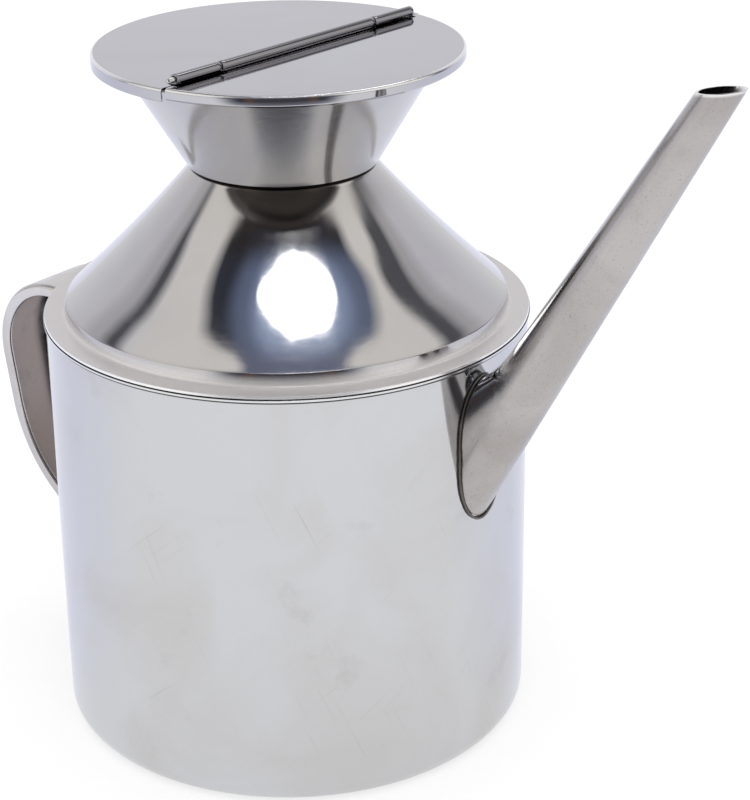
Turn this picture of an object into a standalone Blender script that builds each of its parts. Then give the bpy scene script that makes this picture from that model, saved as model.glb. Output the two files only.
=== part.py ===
"""Stainless steel olive oil can: a drawn cup, a pressed shoulder, a flared filling
neck with a two-part hinged lid, a long conical spout and a channel strap handle.

Units are metres, +Z is up. The origin is the middle of the base's underside.
The spout points to +X and the handle to -X.
"""

import math

import bmesh
import bpy
import numpy as np
from mathutils import Matrix, Vector

MM = 0.001

# Sheet metal and running gaps
CAN_SHEET = 0.5 * MM
LID_SHEET = 0.45 * MM
SEAM_GAP = 0.3 * MM
TURNED_STEPS = 72
MERGE_DISTANCE = 0.01 * MM
SMOOTH_ANGLE = math.radians(35)

# Body cup
BODY_RADIUS = 55.0 * MM
BODY_HEIGHT = 99.4 * MM
BASE_CORNER = 4.3 * MM
BODY_LIP_OUT = 0.45 * MM
BODY_LIP_HEIGHT = 0.9 * MM
BASE_CORNER_POINTS = 6

# Shoulder: a flange on the cup, a short step, a slightly hollow cone and a low collar
FLANGE_OVERHANG = 0.2 * MM
FLANGE_WIDTH = 4.6 * MM
STEP_HEIGHT = 2.9 * MM
STEP_LEAN = math.radians(9.5)
STEP_FILLET = 0.6 * MM
CONE_ROLL = 4.5 * MM
CONE_SLOPE = math.radians(45.8)
CONE_SAG = 0.61 * MM
CONE_POINTS = 4
COLLAR_RADIUS = 20.6 * MM
COLLAR_FILLET = 0.8 * MM
COLLAR_HEIGHT = 0.5 * MM
COLLAR_FILLET_POINTS = 2
CONE_ROLL_POINTS = 5
STEP_FILLET_POINTS = 3

# Filling neck: a funnel whose spigot drops into the collar
FUNNEL_OVERHANG = 0.9 * MM
FUNNEL_SLOPE = math.radians(59.2)
FUNNEL_HEIGHT = 24.25 * MM
FUNNEL_FLANGE = 3.8 * MM
SPIGOT_LENGTH = 6.0 * MM

# Lid: a fixed front half and a hinged rear flap
FIXED_RIM_GAP = 0.45 * MM
FLAP_RIM_GAP = 1.0 * MM
RIM_CORNER = 0.8 * MM
FIXED_SKIRT = 2.1 * MM
CRIMP_LIP = 1.0 * MM
CRIMP_DROP = 0.5 * MM
FLAP_SKIRT = 2.8 * MM
LID_TURN = math.radians(-3.0)
RIM_CORNER_POINTS = 5
LID_CUTTER_REACH = 3.0

# Hinge: rolled knuckles round a loose wire pin
HINGE_OFFSET = 5.5 * MM
PIN_RADIUS = 0.62 * MM
PIN_CLEARANCE = 0.08 * MM
PIN_OVERHANG = 2.0 * MM
PIN_RECESS = 0.4 * MM
PIN_SIDES = 16
PIN_END_POINTS = 4
HINGE_INSET = 2.556 * MM
END_KNUCKLE_LENGTH = 13.2 * MM
KNUCKLE_GAP = 0.3 * MM
ROLL_SWEEP = math.radians(290)
ROLL_POINTS = 20
LEAF_SETBACK = 1.6 * MM
LEAF_OVERLAP = 2.0 * MM
EAR_GAP = 0.25 * MM

# Spout: a rolled cone, flared where it meets the cup
SPOUT_ANGLE = math.radians(59.05)
SPOUT_DROP = 22.6 * MM
SPOUT_LENGTH = 106.25 * MM
SPOUT_ROOT_RADIUS = 7.4 * MM
SPOUT_TIP_RADIUS = 4.02 * MM
MOUTH_TILT = math.radians(9.7)
FLARE_START = 23.0 * MM
FLARE_RATE = 0.32
FLARE_BLEND = 3.0 * MM
SPOUT_INSET = 22.0 * MM
SPOUT_SIDES = 40
SPOUT_RINGS = 16
SPOUT_RING_CROWDING = 1.3

# Pour hole through the cup behind the spout
POUR_HOLE_RISE = 2.1 * MM
POUR_HOLE_SIDES = 28
POUR_HOLE_HALF_WIDTH = 5.2 * MM
POUR_HOLE_HALF_HEIGHT = 9.0 * MM
POUR_CUTTER_LENGTH = 18.0 * MM

# Handle: a channel strap bent to a D
HANDLE_TOP_DROP = 8.8 * MM
HANDLE_STANDOFF = 37.0 * MM
HANDLE_KNUCKLE_RADIUS = 20.0 * MM
HANDLE_HEEL_STANDOFF = 30.2 * MM
HANDLE_HEEL_DROP = 58.0 * MM
HANDLE_HEEL_RADIUS = 37.9 * MM
HANDLE_FOOT = 14.0 * MM
HANDLE_TOP_WIDTH = 20.0 * MM
HANDLE_FOOT_WIDTH = 15.0 * MM
HANDLE_FLANGE = 3.2 * MM
HANDLE_BEND = 1.2 * MM
HEM_RADIUS = 0.4 * MM
HEM_DEPTH = 1.4 * MM
HANDLE_INSET = 4.0 * MM
HANDLE_KNUCKLE_POINTS = 9
HANDLE_HEEL_POINTS = 6
HANDLE_BEND_POINTS = 4
HEM_POINTS = 5

# Weld beads
SPOUT_BEAD = 0.7 * MM
HANDLE_BEAD = 0.7 * MM
SPOUT_BEAD_POINTS = 64
HANDLE_BEAD_POINTS = 12
BEAD_ROUNDNESS = 1
SEARCH_HALVINGS = 50

# The cup-shaped cutter stands this many times as high as the cup
WALL_CUTTER_STRETCH = 1.2

# Heights and radii that follow from the sizes above
WALL_FACE = BODY_RADIUS + SEAM_GAP
FLANGE_TOP = BODY_HEIGHT + SEAM_GAP + CAN_SHEET
FLANGE_RADIUS = BODY_RADIUS + FLANGE_OVERHANG
STEP_RADIUS = FLANGE_RADIUS - FLANGE_WIDTH
FUNNEL_RADIUS = COLLAR_RADIUS + FUNNEL_OVERHANG
SPIGOT_RADIUS = COLLAR_RADIUS - CAN_SHEET - SEAM_GAP
KNUCKLE_BORE = PIN_RADIUS + PIN_CLEARANCE
KNUCKLE_RADIUS = KNUCKLE_BORE + LID_SHEET
SPOUT_HEIGHT = BODY_HEIGHT - SPOUT_DROP
POUR_HOLE_HEIGHT = SPOUT_HEIGHT + POUR_HOLE_RISE
HANDLE_TOP = BODY_HEIGHT - HANDLE_TOP_DROP
HANDLE_REACH = BODY_RADIUS + HANDLE_STANDOFF
HANDLE_HEEL_OUT = BODY_RADIUS + HANDLE_HEEL_STANDOFF
HANDLE_HEEL_UP = BODY_HEIGHT - HANDLE_HEEL_DROP


def clear_scene():
    """Remove whatever the open file holds, so the script can be run again."""
    for old in list(bpy.data.objects):
        bpy.data.objects.remove(old, do_unlink=True)


def new_collection(name):
    collection = bpy.data.collections.new(name)
    bpy.context.scene.collection.children.link(collection)
    return collection


def steel(name, colour, roughness):
    """A stainless steel finish, from its linear colour and roughness."""
    material = bpy.data.materials.new(name)
    material.use_nodes = True
    shader = material.node_tree.nodes["Principled BSDF"]
    shader.inputs["Base Color"].default_value = (*colour, 1.0)
    shader.inputs["Roughness"].default_value = roughness
    shader.inputs["Metallic"].default_value = 1.0
    return material


def add_object(name, mesh, collection, material=None):
    piece = bpy.data.objects.new(name, mesh)
    collection.objects.link(piece)
    if material:
        mesh.materials.append(material)
    return piece


def smooth(mesh):
    mesh.shade_smooth()
    mesh.set_sharp_from_angle(angle=SMOOTH_ANGLE)


def mesh_from(verts, edges, faces, name):
    mesh = bpy.data.meshes.new(name)
    mesh.from_pydata([tuple(map(float, v)) for v in verts], edges, faces)
    mesh.update()
    return mesh


def turned_sheet(name, profile, sheet, collection, material=None):
    """A sheet piece spun about Z. The profile is its outer face, top to bottom."""
    edges = [(i, i + 1) for i in range(len(profile) - 1)]
    mesh = mesh_from([(r, 0.0, z) for r, z in profile], edges, [], name)
    piece = add_object(name, mesh, collection, material)
    spin = piece.modifiers.new("Spin", "SCREW")
    spin.axis = "Z"
    spin.angle = math.tau
    spin.steps = TURNED_STEPS
    spin.render_steps = TURNED_STEPS
    spin.use_merge_vertices = True
    spin.merge_threshold = MERGE_DISTANCE
    spin.use_smooth_shade = True
    wall = piece.modifiers.new("Sheet", "SOLIDIFY")
    wall.thickness = sheet
    wall.offset = -1.0
    wall.use_even_offset = True
    return piece


def arc(centre, radius, start, end, count):
    """Points on an arc in the profile plane, both ends included."""
    return [
        (centre[0] + radius * math.cos(a), centre[1] + radius * math.sin(a))
        for a in np.linspace(start, end, count)
    ]


def filleted(corners, radii, steps):
    """A polyline whose inner corners are rounded to the given radii."""
    points = [corners[0]]
    for before, corner, after, radius, count in zip(
        corners, corners[1:], corners[2:], radii, steps
    ):
        c = Vector(corner)
        back = (Vector(before) - c).normalized()
        ahead = (Vector(after) - c).normalized()
        half = back.angle(ahead) / 2
        reach = radius / math.tan(half)
        middle = c + (back + ahead).normalized() * radius / math.sin(half)
        first = c + back * reach - middle
        turn = first.angle_signed(c + ahead * reach - middle)
        start = math.atan2(first.y, first.x)
        points += arc(middle, radius, start, start - turn, count)
    return points + [corners[-1]]


def sagged(start, end, sag, count):
    """Points from start to end on a shallow curve that dips by the sag, to its right."""
    line = Vector(end) - Vector(start)
    dip = Vector((line.y, -line.x)).normalized() * sag
    return [
        tuple(Vector(start) + line * s + dip * 4 * s * (1 - s))
        for s in np.linspace(0.0, 1.0, count)
    ]


def prism(name, outline, y_from, y_to, collection):
    """A solid whose XZ outline runs along Y."""
    shape = bmesh.new()
    ring = [shape.verts.new((x, y_from, z)) for x, z in outline]
    side = shape.faces.new(ring)
    grown = bmesh.ops.extrude_face_region(shape, geom=[side])["geom"]
    moved = [v for v in grown if isinstance(v, bmesh.types.BMVert)]
    bmesh.ops.translate(shape, verts=moved, vec=(0.0, y_to - y_from, 0.0))
    bmesh.ops.recalc_face_normals(shape, faces=shape.faces)
    mesh = bpy.data.meshes.new(name)
    shape.to_mesh(mesh)
    shape.free()
    return add_object(name, mesh, collection)


def block(name, low, high, collection):
    outline = [(low[0], low[2]), (high[0], low[2]), (high[0], high[2]), (low[0], high[2])]
    return prism(name, outline, low[1], high[1], collection)


def round_cutter(name, matrix, collection, sides):
    """A unit cylinder along its own Z, placed and sized by a matrix."""
    shape = bmesh.new()
    bmesh.ops.create_cone(
        shape, cap_ends=True, segments=sides, radius1=1.0, radius2=1.0, depth=1.0
    )
    bmesh.ops.transform(shape, matrix=matrix, verts=shape.verts)
    mesh = bpy.data.meshes.new(name)
    shape.to_mesh(mesh)
    shape.free()
    return add_object(name, mesh, collection)


def boolean(piece, other, operation):
    step = piece.modifiers.new(other.name, "BOOLEAN")
    step.operation = operation
    step.solver = "EXACT"
    step.object = other
    other.hide_render = True
    other.display_type = "WIRE"


def wall_cutter(name, collection):
    """The cup's outside, one seam gap larger, to trim what is welded to it."""
    height = BODY_HEIGHT * WALL_CUTTER_STRETCH
    size = Matrix.Diagonal((WALL_FACE, WALL_FACE, height, 1.0))
    turn = Matrix.Rotation(math.pi / 2, 4, "Z")
    return round_cutter(
        name, Matrix.Translation((0, 0, BODY_HEIGHT / 2)) @ size @ turn, collection, TURNED_STEPS
    )


def body_cup(parts, cutters, material):
    """Drawn cup: flat base, rounded corner, straight wall and a small out-turned lip."""
    centre = (BODY_RADIUS - BASE_CORNER, BASE_CORNER)
    corner = arc(centre, BASE_CORNER, 0.0, -math.pi / 2, BASE_CORNER_POINTS)
    lip = BODY_RADIUS + BODY_LIP_OUT
    profile = [(lip, BODY_HEIGHT), (lip, BODY_HEIGHT - BODY_LIP_HEIGHT)]
    profile += [(BODY_RADIUS, BODY_HEIGHT - BODY_LIP_HEIGHT - BODY_LIP_OUT)]
    profile += corner + [(0.0, 0.0)]
    cup = turned_sheet("body_cup", profile, CAN_SHEET, parts, material)
    across = Matrix.Rotation(math.pi / 2, 4, "Y")
    size = Matrix.Diagonal(
        (POUR_HOLE_HALF_HEIGHT, POUR_HOLE_HALF_WIDTH, POUR_CUTTER_LENGTH, 1.0)
    )
    place = Matrix.Translation((BODY_RADIUS, 0.0, POUR_HOLE_HEIGHT))
    hole = round_cutter("pour_hole_cutter", place @ across @ size, cutters, POUR_HOLE_SIDES)
    boolean(cup, hole, "DIFFERENCE")
    return cup


def shoulder_outline():
    """The shoulder's outer face, from the collar's edge down to the flange's edge."""
    step_top = FLANGE_TOP + STEP_HEIGHT
    step_shift = STEP_HEIGHT * math.tan(STEP_LEAN)
    cone_foot = (STEP_RADIUS - step_shift, step_top)
    rise = (cone_foot[0] - COLLAR_RADIUS) * math.tan(CONE_SLOPE)
    collar_foot = (COLLAR_RADIUS, step_top + rise)
    cone = sagged(collar_foot, cone_foot, CONE_SAG, CONE_POINTS)
    upper = [(COLLAR_RADIUS, collar_foot[1] + COLLAR_HEIGHT)] + cone[:2]
    lower = cone[-2:] + [(STEP_RADIUS, FLANGE_TOP), (FLANGE_RADIUS, FLANGE_TOP)]
    top = filleted(upper, [COLLAR_FILLET], [COLLAR_FILLET_POINTS])
    foot = filleted(lower, [CONE_ROLL, STEP_FILLET], [CONE_ROLL_POINTS, STEP_FILLET_POINTS])
    return top + cone[2:-2] + foot


def collar_top():
    return shoulder_outline()[0][1]


def waist_height():
    return collar_top() + SEAM_GAP


def funnel_flange_radius():
    return (
        FUNNEL_RADIUS
        + FUNNEL_HEIGHT / math.tan(FUNNEL_SLOPE)
        + FUNNEL_FLANGE
    )


def funnel_flange_top():
    return waist_height() + FUNNEL_HEIGHT + CAN_SHEET


def lid_top():
    return funnel_flange_top() + SEAM_GAP + LID_SHEET


def hinge_half_length():
    return funnel_flange_radius() - HINGE_INSET


def knuckle_split():
    return hinge_half_length() - END_KNUCKLE_LENGTH


def pin_height():
    """The rolls stand on the lid's top face."""
    return lid_top() + KNUCKLE_RADIUS


def shoulder(parts, material):
    return turned_sheet("shoulder", shoulder_outline(), CAN_SHEET, parts, material)


def funnel_neck(parts, material):
    """Flared neck: out-turned flange for the lid, cone, and a spigot in the collar."""
    under_flange = waist_height() + FUNNEL_HEIGHT
    flange = funnel_flange_radius()
    profile = [
        (flange, under_flange),
        (flange - FUNNEL_FLANGE, under_flange),
        (FUNNEL_RADIUS, waist_height()),
        (SPIGOT_RADIUS, waist_height()),
        (SPIGOT_RADIUS, waist_height() - SPIGOT_LENGTH),
    ]
    return turned_sheet("funnel_neck", profile, CAN_SHEET, parts, material)


def lid_rim(radius, skirt):
    """The lid's face from its centre to the lower edge of its turned-down skirt."""
    top = lid_top()
    centre = (radius - RIM_CORNER, top - RIM_CORNER)
    corner = arc(centre, RIM_CORNER, math.pi / 2, 0.0, RIM_CORNER_POINTS)
    return [(0.0, top)] + corner + [(radius, top - skirt)]


def rolled_leaf():
    """Outline of a leaf that leaves the plate, rises and rolls round the pin.

    It is drawn round the pin's axis for a plate on the +X side.
    """
    roll = KNUCKLE_BORE + LID_SHEET / 2
    plate = -KNUCKLE_RADIUS - LID_SHEET / 2
    start = -math.pi / 2
    middle = [(LEAF_SETBACK + LEAF_OVERLAP, plate), (LEAF_SETBACK, plate)]
    middle += arc((0.0, 0.0), roll, start, start - ROLL_SWEEP, ROLL_POINTS)
    line = np.array(middle)
    along = np.gradient(line, axis=0)
    along[0] = line[1] - line[0]
    along[1] = along[0] + (line[2] - line[1]) / np.linalg.norm(line[2] - line[1]) * LEAF_OVERLAP
    along /= np.linalg.norm(along, axis=1)[:, None]
    side = np.stack([-along[:, 1], along[:, 0]], 1) * LID_SHEET / 2
    return [tuple(p) for p in line + side] + [tuple(p) for p in (line - side)[::-1]]


def knuckle(name, toward, y_from, y_to, cutters, axis):
    """One rolled knuckle: toward is 1 for a plate on the +X side, -1 for the other."""
    outline = [(toward * x, z) for x, z in rolled_leaf()]
    piece = prism(name, outline, y_from, y_to, cutters)
    piece.parent = axis
    return piece


def lid_half(name, toward, radius, profile, parts, cutters, material, axis):
    """The half of the lid on one side of the hinge, without its knuckles."""
    half = turned_sheet(name, profile, LID_SHEET, parts, material)
    half.parent = axis
    half.location = (-HINGE_OFFSET, 0.0, -pin_height())
    reach = LID_CUTTER_REACH * radius
    for label, edge, span in (
        ("ear", EAR_GAP, reach),
        ("plate", LEAF_SETBACK, hinge_half_length() + KNUCKLE_GAP),
    ):
        near, far = sorted((toward * edge, -toward * reach))
        cutter = block(
            f"{name}_{label}_cutter", (near, -span, -reach), (far, span, reach), cutters
        )
        cutter.parent = axis
        boolean(half, cutter, "DIFFERENCE")
    return half


def lid_fixed_half(parts, cutters, material, axis):
    """Front half: crimped over the neck's flange, with the long middle knuckle."""
    radius = funnel_flange_radius() + FIXED_RIM_GAP + LID_SHEET
    profile = lid_rim(radius, FIXED_SKIRT)
    low = lid_top() - FIXED_SKIRT
    profile += [(radius - CRIMP_DROP, low - CRIMP_DROP)]
    profile += [(radius - CRIMP_DROP - CRIMP_LIP, low - CRIMP_DROP)]
    half = lid_half("lid_fixed_half", 1, radius, profile, parts, cutters, material, axis)
    roll = knuckle("middle_knuckle", 1, -knuckle_split(), knuckle_split(), cutters, axis)
    boolean(half, roll, "UNION")
    return half


def lid_flap(parts, cutters, material, axis):
    """Rear flap: a loose skirt round the neck's flange and two end knuckles."""
    radius = funnel_flange_radius() + FLAP_RIM_GAP + LID_SHEET
    profile = lid_rim(radius, FLAP_SKIRT)
    half = lid_half("lid_flap", -1, radius, profile, parts, cutters, material, axis)
    inner = knuckle_split() + KNUCKLE_GAP
    for label, y_from, y_to in (
        ("left", -hinge_half_length(), -inner),
        ("right", inner, hinge_half_length()),
    ):
        roll = knuckle(f"{label}_knuckle", -1, y_from, y_to, cutters, axis)
        boolean(half, roll, "UNION")
    return half


def hinge_pin(parts, material, axis):
    """Wire pin with rounded ends. It sticks out of one end and is recessed in the other."""
    top = hinge_half_length() + PIN_OVERHANG
    low = PIN_RECESS - hinge_half_length()
    profile = [(0.0, top)]
    quarter = math.pi / 2
    profile += arc((0.0, top - PIN_RADIUS), PIN_RADIUS, quarter, 0.0, PIN_END_POINTS)[1:]
    profile += arc((0.0, low + PIN_RADIUS), PIN_RADIUS, 0.0, -quarter, PIN_END_POINTS)[:-1]
    profile += [(0.0, low)]
    edges = [(i, i + 1) for i in range(len(profile) - 1)]
    mesh = mesh_from([(r, 0.0, z) for r, z in profile], edges, [], "hinge_pin")
    pin = add_object("hinge_pin", mesh, parts, material)
    spin = pin.modifiers.new("Spin", "SCREW")
    spin.axis = "Z"
    spin.steps = PIN_SIDES
    spin.render_steps = PIN_SIDES
    spin.use_merge_vertices = True
    spin.merge_threshold = MERGE_DISTANCE
    spin.use_smooth_shade = True
    pin.parent = axis
    pin.rotation_euler = (math.pi / 2, 0.0, 0.0)
    return pin


def spout_matrix():
    """Where the spout's axis crosses the cup's wall, with local Z along the spout."""
    place = Matrix.Translation((BODY_RADIUS, 0.0, SPOUT_HEIGHT))
    return place @ Matrix.Rotation(math.pi / 2 - SPOUT_ANGLE, 4, "Y")


def spout_radius(along, around):
    """Outer radius of the spout: a cone, with a flare on its upper side at the root.

    Angle 0 is the underside and pi the upper side.
    """
    taper = (SPOUT_TIP_RADIUS - SPOUT_ROOT_RADIUS) / SPOUT_LENGTH
    short = FLARE_START - along
    flare = FLARE_RATE * (np.sqrt(short**2 + FLARE_BLEND**2) + short) / 2
    upper = np.clip(-np.cos(around), 0.0, 1.0) ** 2
    return SPOUT_ROOT_RADIUS + taper * along + flare * upper


def spout_points(along, around, offset=0.0):
    """Points on the spout's outside, in its own frame, moved out by the offset."""
    radius = spout_radius(along, around) + offset
    return np.stack([radius * np.cos(around), radius * np.sin(around), along], -1)


def mouth_distance(around):
    """Distance along the spout to its slanted mouth, at each angle round it."""
    lean = 1.0 / math.tan(SPOUT_ANGLE - MOUTH_TILT)
    taper = (SPOUT_TIP_RADIUS - SPOUT_ROOT_RADIUS) / SPOUT_LENGTH
    level = lean * np.cos(around)
    return (SPOUT_LENGTH + SPOUT_ROOT_RADIUS * level) / (1.0 - taper * level)


def grid_faces(rows, columns):
    """Quads of a grid whose columns close on themselves."""
    faces = []
    for i in range(rows - 1):
        for j in range(columns):
            a = i * columns + j
            b = i * columns + (j + 1) % columns
            faces.append((a, b, b + columns, a + columns))
    return faces


def spout(parts, cutters, material):
    """Rolled cone with a slanted mouth, cut to fit the cup's wall."""
    around = np.arange(SPOUT_SIDES) * math.tau / SPOUT_SIDES
    share = np.linspace(0.0, 1.0, SPOUT_RINGS)[:, None] ** SPOUT_RING_CROWDING
    along = -SPOUT_INSET + share * (mouth_distance(around) + SPOUT_INSET)
    verts = spout_points(along, np.broadcast_to(around, along.shape)).reshape(-1, 3)
    mesh = mesh_from(verts, [], grid_faces(SPOUT_RINGS, SPOUT_SIDES), "spout")
    piece = add_object("spout", mesh, parts, material)
    piece.matrix_world = spout_matrix()
    wall = piece.modifiers.new("Sheet", "SOLIDIFY")
    wall.thickness = CAN_SHEET
    wall.offset = -1.0
    boolean(piece, wall_cutter("spout_root_cutter", cutters), "DIFFERENCE")
    smooth(mesh)
    return piece


def tube_along(name, points, radius, closed, collection, material):
    """A round bead along points, as a mesh with closed ends."""
    data = bpy.data.curves.new(name, "CURVE")
    data.dimensions = "3D"
    data.bevel_depth = radius
    data.bevel_resolution = BEAD_ROUNDNESS
    data.use_fill_caps = not closed
    line = data.splines.new("POLY")
    line.points.add(len(points) - 1)
    for spot, point in zip(line.points, points):
        spot.co = (*map(float, point), 1.0)
    line.use_cyclic_u = closed
    return add_object(name, data, collection, material)


def spout_weld(parts, material):
    """The bead where the spout is welded to the cup, found on both faces at once."""
    around = np.linspace(0.0, math.tau, SPOUT_BEAD_POINTS, endpoint=False)
    clear = SEAM_GAP + SPOUT_BEAD
    frame = np.array(spout_matrix())
    low = np.full(around.shape, -2.0 * SPOUT_INSET)
    high = np.full(around.shape, SPOUT_LENGTH)
    for _ in range(SEARCH_HALVINGS):
        middle = (low + high) / 2
        points = spout_points(middle, around, clear) @ frame[:3, :3].T + frame[:3, 3]
        outside = np.hypot(points[:, 0], points[:, 1]) > BODY_RADIUS + clear
        high = np.where(outside, middle, high)
        low = np.where(outside, low, middle)
    return tube_along("spout_weld", points, SPOUT_BEAD, True, parts, material)


def foot_slope():
    """How much the strap's lower leg rises for each unit that it goes out."""
    return (HANDLE_HEEL_UP - HANDLE_FOOT) / (HANDLE_HEEL_OUT - BODY_RADIUS)


def handle_line():
    """The strap's outer line in the plane of the handle, as distance out and height."""
    inside = BODY_RADIUS - HANDLE_INSET
    corners = [
        (inside, HANDLE_TOP),
        (HANDLE_REACH, HANDLE_TOP),
        (HANDLE_HEEL_OUT, HANDLE_HEEL_UP),
        (inside, HANDLE_FOOT - HANDLE_INSET * foot_slope()),
    ]
    bends = [HANDLE_KNUCKLE_RADIUS, HANDLE_HEEL_RADIUS]
    counts = [HANDLE_KNUCKLE_POINTS, HANDLE_HEEL_POINTS]
    return np.array(filleted(corners, bends, counts))


def channel_section(half_width):
    """Middle line of one half of the strap's section: face, bend, flange and hem."""
    skin = CAN_SHEET / 2
    side = half_width - skin
    bend = HANDLE_BEND - skin
    corner = arc((side - bend, skin + bend), bend, -math.pi / 2, 0.0, HANDLE_BEND_POINTS)
    edge = HANDLE_FLANGE - HEM_RADIUS - skin
    hem = arc((side - HEM_RADIUS, edge), HEM_RADIUS, 0.0, math.pi, HEM_POINTS)
    return corner + hem + [(side - 2 * HEM_RADIUS, edge - HEM_DEPTH)]


def handle(parts, cutters, material):
    """Channel strap: the section is carried along the bent line, narrowing downwards."""
    line = handle_line()
    steps = np.linalg.norm(np.diff(line, axis=0), axis=1)
    share = np.concatenate([[0.0], np.cumsum(steps)]) / steps.sum()
    along = np.gradient(line, axis=0)
    along /= np.linalg.norm(along, axis=1)[:, None]
    inward = np.stack([along[:, 1], -along[:, 0]], 1)
    verts = []
    for point, inside, part in zip(line, inward, share):
        width = HANDLE_TOP_WIDTH + (HANDLE_FOOT_WIDTH - HANDLE_TOP_WIDTH) * part
        half = channel_section(width / 2)
        section = [(-y, n) for y, n in reversed(half)] + half
        for y, n in section:
            out, up = point + inside * n
            verts.append((-out, y, up))
    columns = len(verts) // len(line)
    faces = []
    for i in range(len(line) - 1):
        for j in range(columns - 1):
            a = i * columns + j
            faces.append((a, a + 1, a + 1 + columns, a + columns))
    mesh = mesh_from(verts, [], faces, "handle")
    strap = add_object("handle", mesh, parts, material)
    wall = strap.modifiers.new("Sheet", "SOLIDIFY")
    wall.thickness = CAN_SHEET
    wall.offset = 0.0
    boolean(strap, wall_cutter("handle_root_cutter", cutters), "DIFFERENCE")
    smooth(mesh)
    return strap


def handle_weld(name, height, width, parts, material):
    """A short bead on the wall along one end of the strap."""
    radius = BODY_RADIUS + SEAM_GAP + HANDLE_BEAD
    reach = math.asin(width / 2 / radius)
    points = [
        (-radius * math.cos(a), radius * math.sin(a), height)
        for a in np.linspace(-reach, reach, HANDLE_BEAD_POINTS)
    ]
    return tube_along(name, points, HANDLE_BEAD, False, parts, material)


def build():
    clear_scene()
    parts = new_collection("olive_oil_can")
    cutters = new_collection("cutters")
    cutters.hide_render = True

    satin = steel("satin_stainless", (0.60, 0.60, 0.61), 0.30)
    polished = steel("polished_stainless", (0.62, 0.62, 0.63), 0.12)
    drawn = steel("spout_stainless", (0.52, 0.50, 0.48), 0.38)
    strap_finish = steel("strap_stainless", (0.55, 0.54, 0.53), 0.32)
    lid_finish = steel("lid_stainless", (0.58, 0.58, 0.60), 0.15)
    wire = steel("pin_wire", (0.45, 0.45, 0.46), 0.25)
    bead = steel("weld_bead", (0.22, 0.21, 0.20), 0.55)

    body_cup(parts, cutters, satin)
    shoulder(parts, polished)
    funnel_neck(parts, polished)

    axis = bpy.data.objects.new("hinge_axis", None)
    parts.objects.link(axis)
    axis.rotation_euler = (0.0, 0.0, LID_TURN)
    axis.location = (
        HINGE_OFFSET * math.cos(LID_TURN),
        HINGE_OFFSET * math.sin(LID_TURN),
        pin_height(),
    )
    lid_fixed_half(parts, cutters, lid_finish, axis)
    lid_flap(parts, cutters, lid_finish, axis)
    hinge_pin(parts, wire, axis)

    spout(parts, cutters, drawn)
    spout_weld(parts, bead)
    handle(parts, cutters, strap_finish)
    top_weld = HANDLE_TOP + SEAM_GAP + HANDLE_BEAD
    handle_weld("handle_top_weld", top_weld, HANDLE_TOP_WIDTH, parts, bead)
    slope = foot_slope()
    foot_weld = HANDLE_FOOT - (SEAM_GAP + HANDLE_BEAD) * (math.hypot(1.0, slope) - slope)
    handle_weld("handle_foot_weld", foot_weld, HANDLE_FOOT_WIDTH, parts, bead)


build()
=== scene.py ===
# %% [markdown]
# # A stainless steel olive oil can
#
# The can is seven pieces of sheet steel, a wire pin and three welds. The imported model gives
# the cup's size, and the other lengths follow the model's, with some small roundings drawn
# tighter or wider where the photograph shows them so. This script gives every piece a
# surface fine enough to act as a mirror, and its finish: polished, satin, or left as it
# came off the roll.

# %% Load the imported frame
import math

import bmesh
import bpy
import numpy as np
from mathutils import Matrix, Vector


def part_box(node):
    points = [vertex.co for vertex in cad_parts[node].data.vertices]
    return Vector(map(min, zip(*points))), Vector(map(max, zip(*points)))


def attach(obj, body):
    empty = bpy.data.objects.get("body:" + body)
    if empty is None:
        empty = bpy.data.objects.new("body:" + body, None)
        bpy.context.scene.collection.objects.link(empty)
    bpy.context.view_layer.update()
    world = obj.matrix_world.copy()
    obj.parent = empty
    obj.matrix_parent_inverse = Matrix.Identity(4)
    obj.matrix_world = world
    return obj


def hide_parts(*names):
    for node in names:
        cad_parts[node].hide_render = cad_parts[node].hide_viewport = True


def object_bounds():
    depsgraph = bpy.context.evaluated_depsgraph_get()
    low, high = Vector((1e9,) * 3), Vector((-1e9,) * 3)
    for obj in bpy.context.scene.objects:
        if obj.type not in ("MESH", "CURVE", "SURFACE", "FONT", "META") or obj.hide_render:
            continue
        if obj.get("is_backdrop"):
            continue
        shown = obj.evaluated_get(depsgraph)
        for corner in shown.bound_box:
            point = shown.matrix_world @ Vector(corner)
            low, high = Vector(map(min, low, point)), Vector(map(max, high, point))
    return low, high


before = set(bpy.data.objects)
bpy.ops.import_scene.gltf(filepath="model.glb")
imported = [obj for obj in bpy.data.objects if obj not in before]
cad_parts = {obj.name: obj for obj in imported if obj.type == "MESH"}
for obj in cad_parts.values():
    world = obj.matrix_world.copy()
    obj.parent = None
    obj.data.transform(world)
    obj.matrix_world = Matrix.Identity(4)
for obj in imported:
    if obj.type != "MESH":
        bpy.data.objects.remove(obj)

MM = 0.001
cad_low, cad_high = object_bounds()
print("CAD box, mm:", [round(v / MM, 2) for v in (*cad_low, *cad_high)])

# %% [markdown]
# ## Sheet metal as a grid of points
#
# Everything here is sheet, bent or turned. A bent sheet is drawn as one line, the line is
# given a second face one thickness away, and the closed loop is carried round an axis or
# along a path. That is a grid of points with two parameters, so numpy works out every
# point at once. A mirror shows each facet, so the grids are much finer than the solids'.

# %% The outline of a bent sheet
def unit(vectors):
    """Each vector divided by its own length."""
    return vectors / np.linalg.norm(vectors, axis=-1, keepdims=True)


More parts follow.
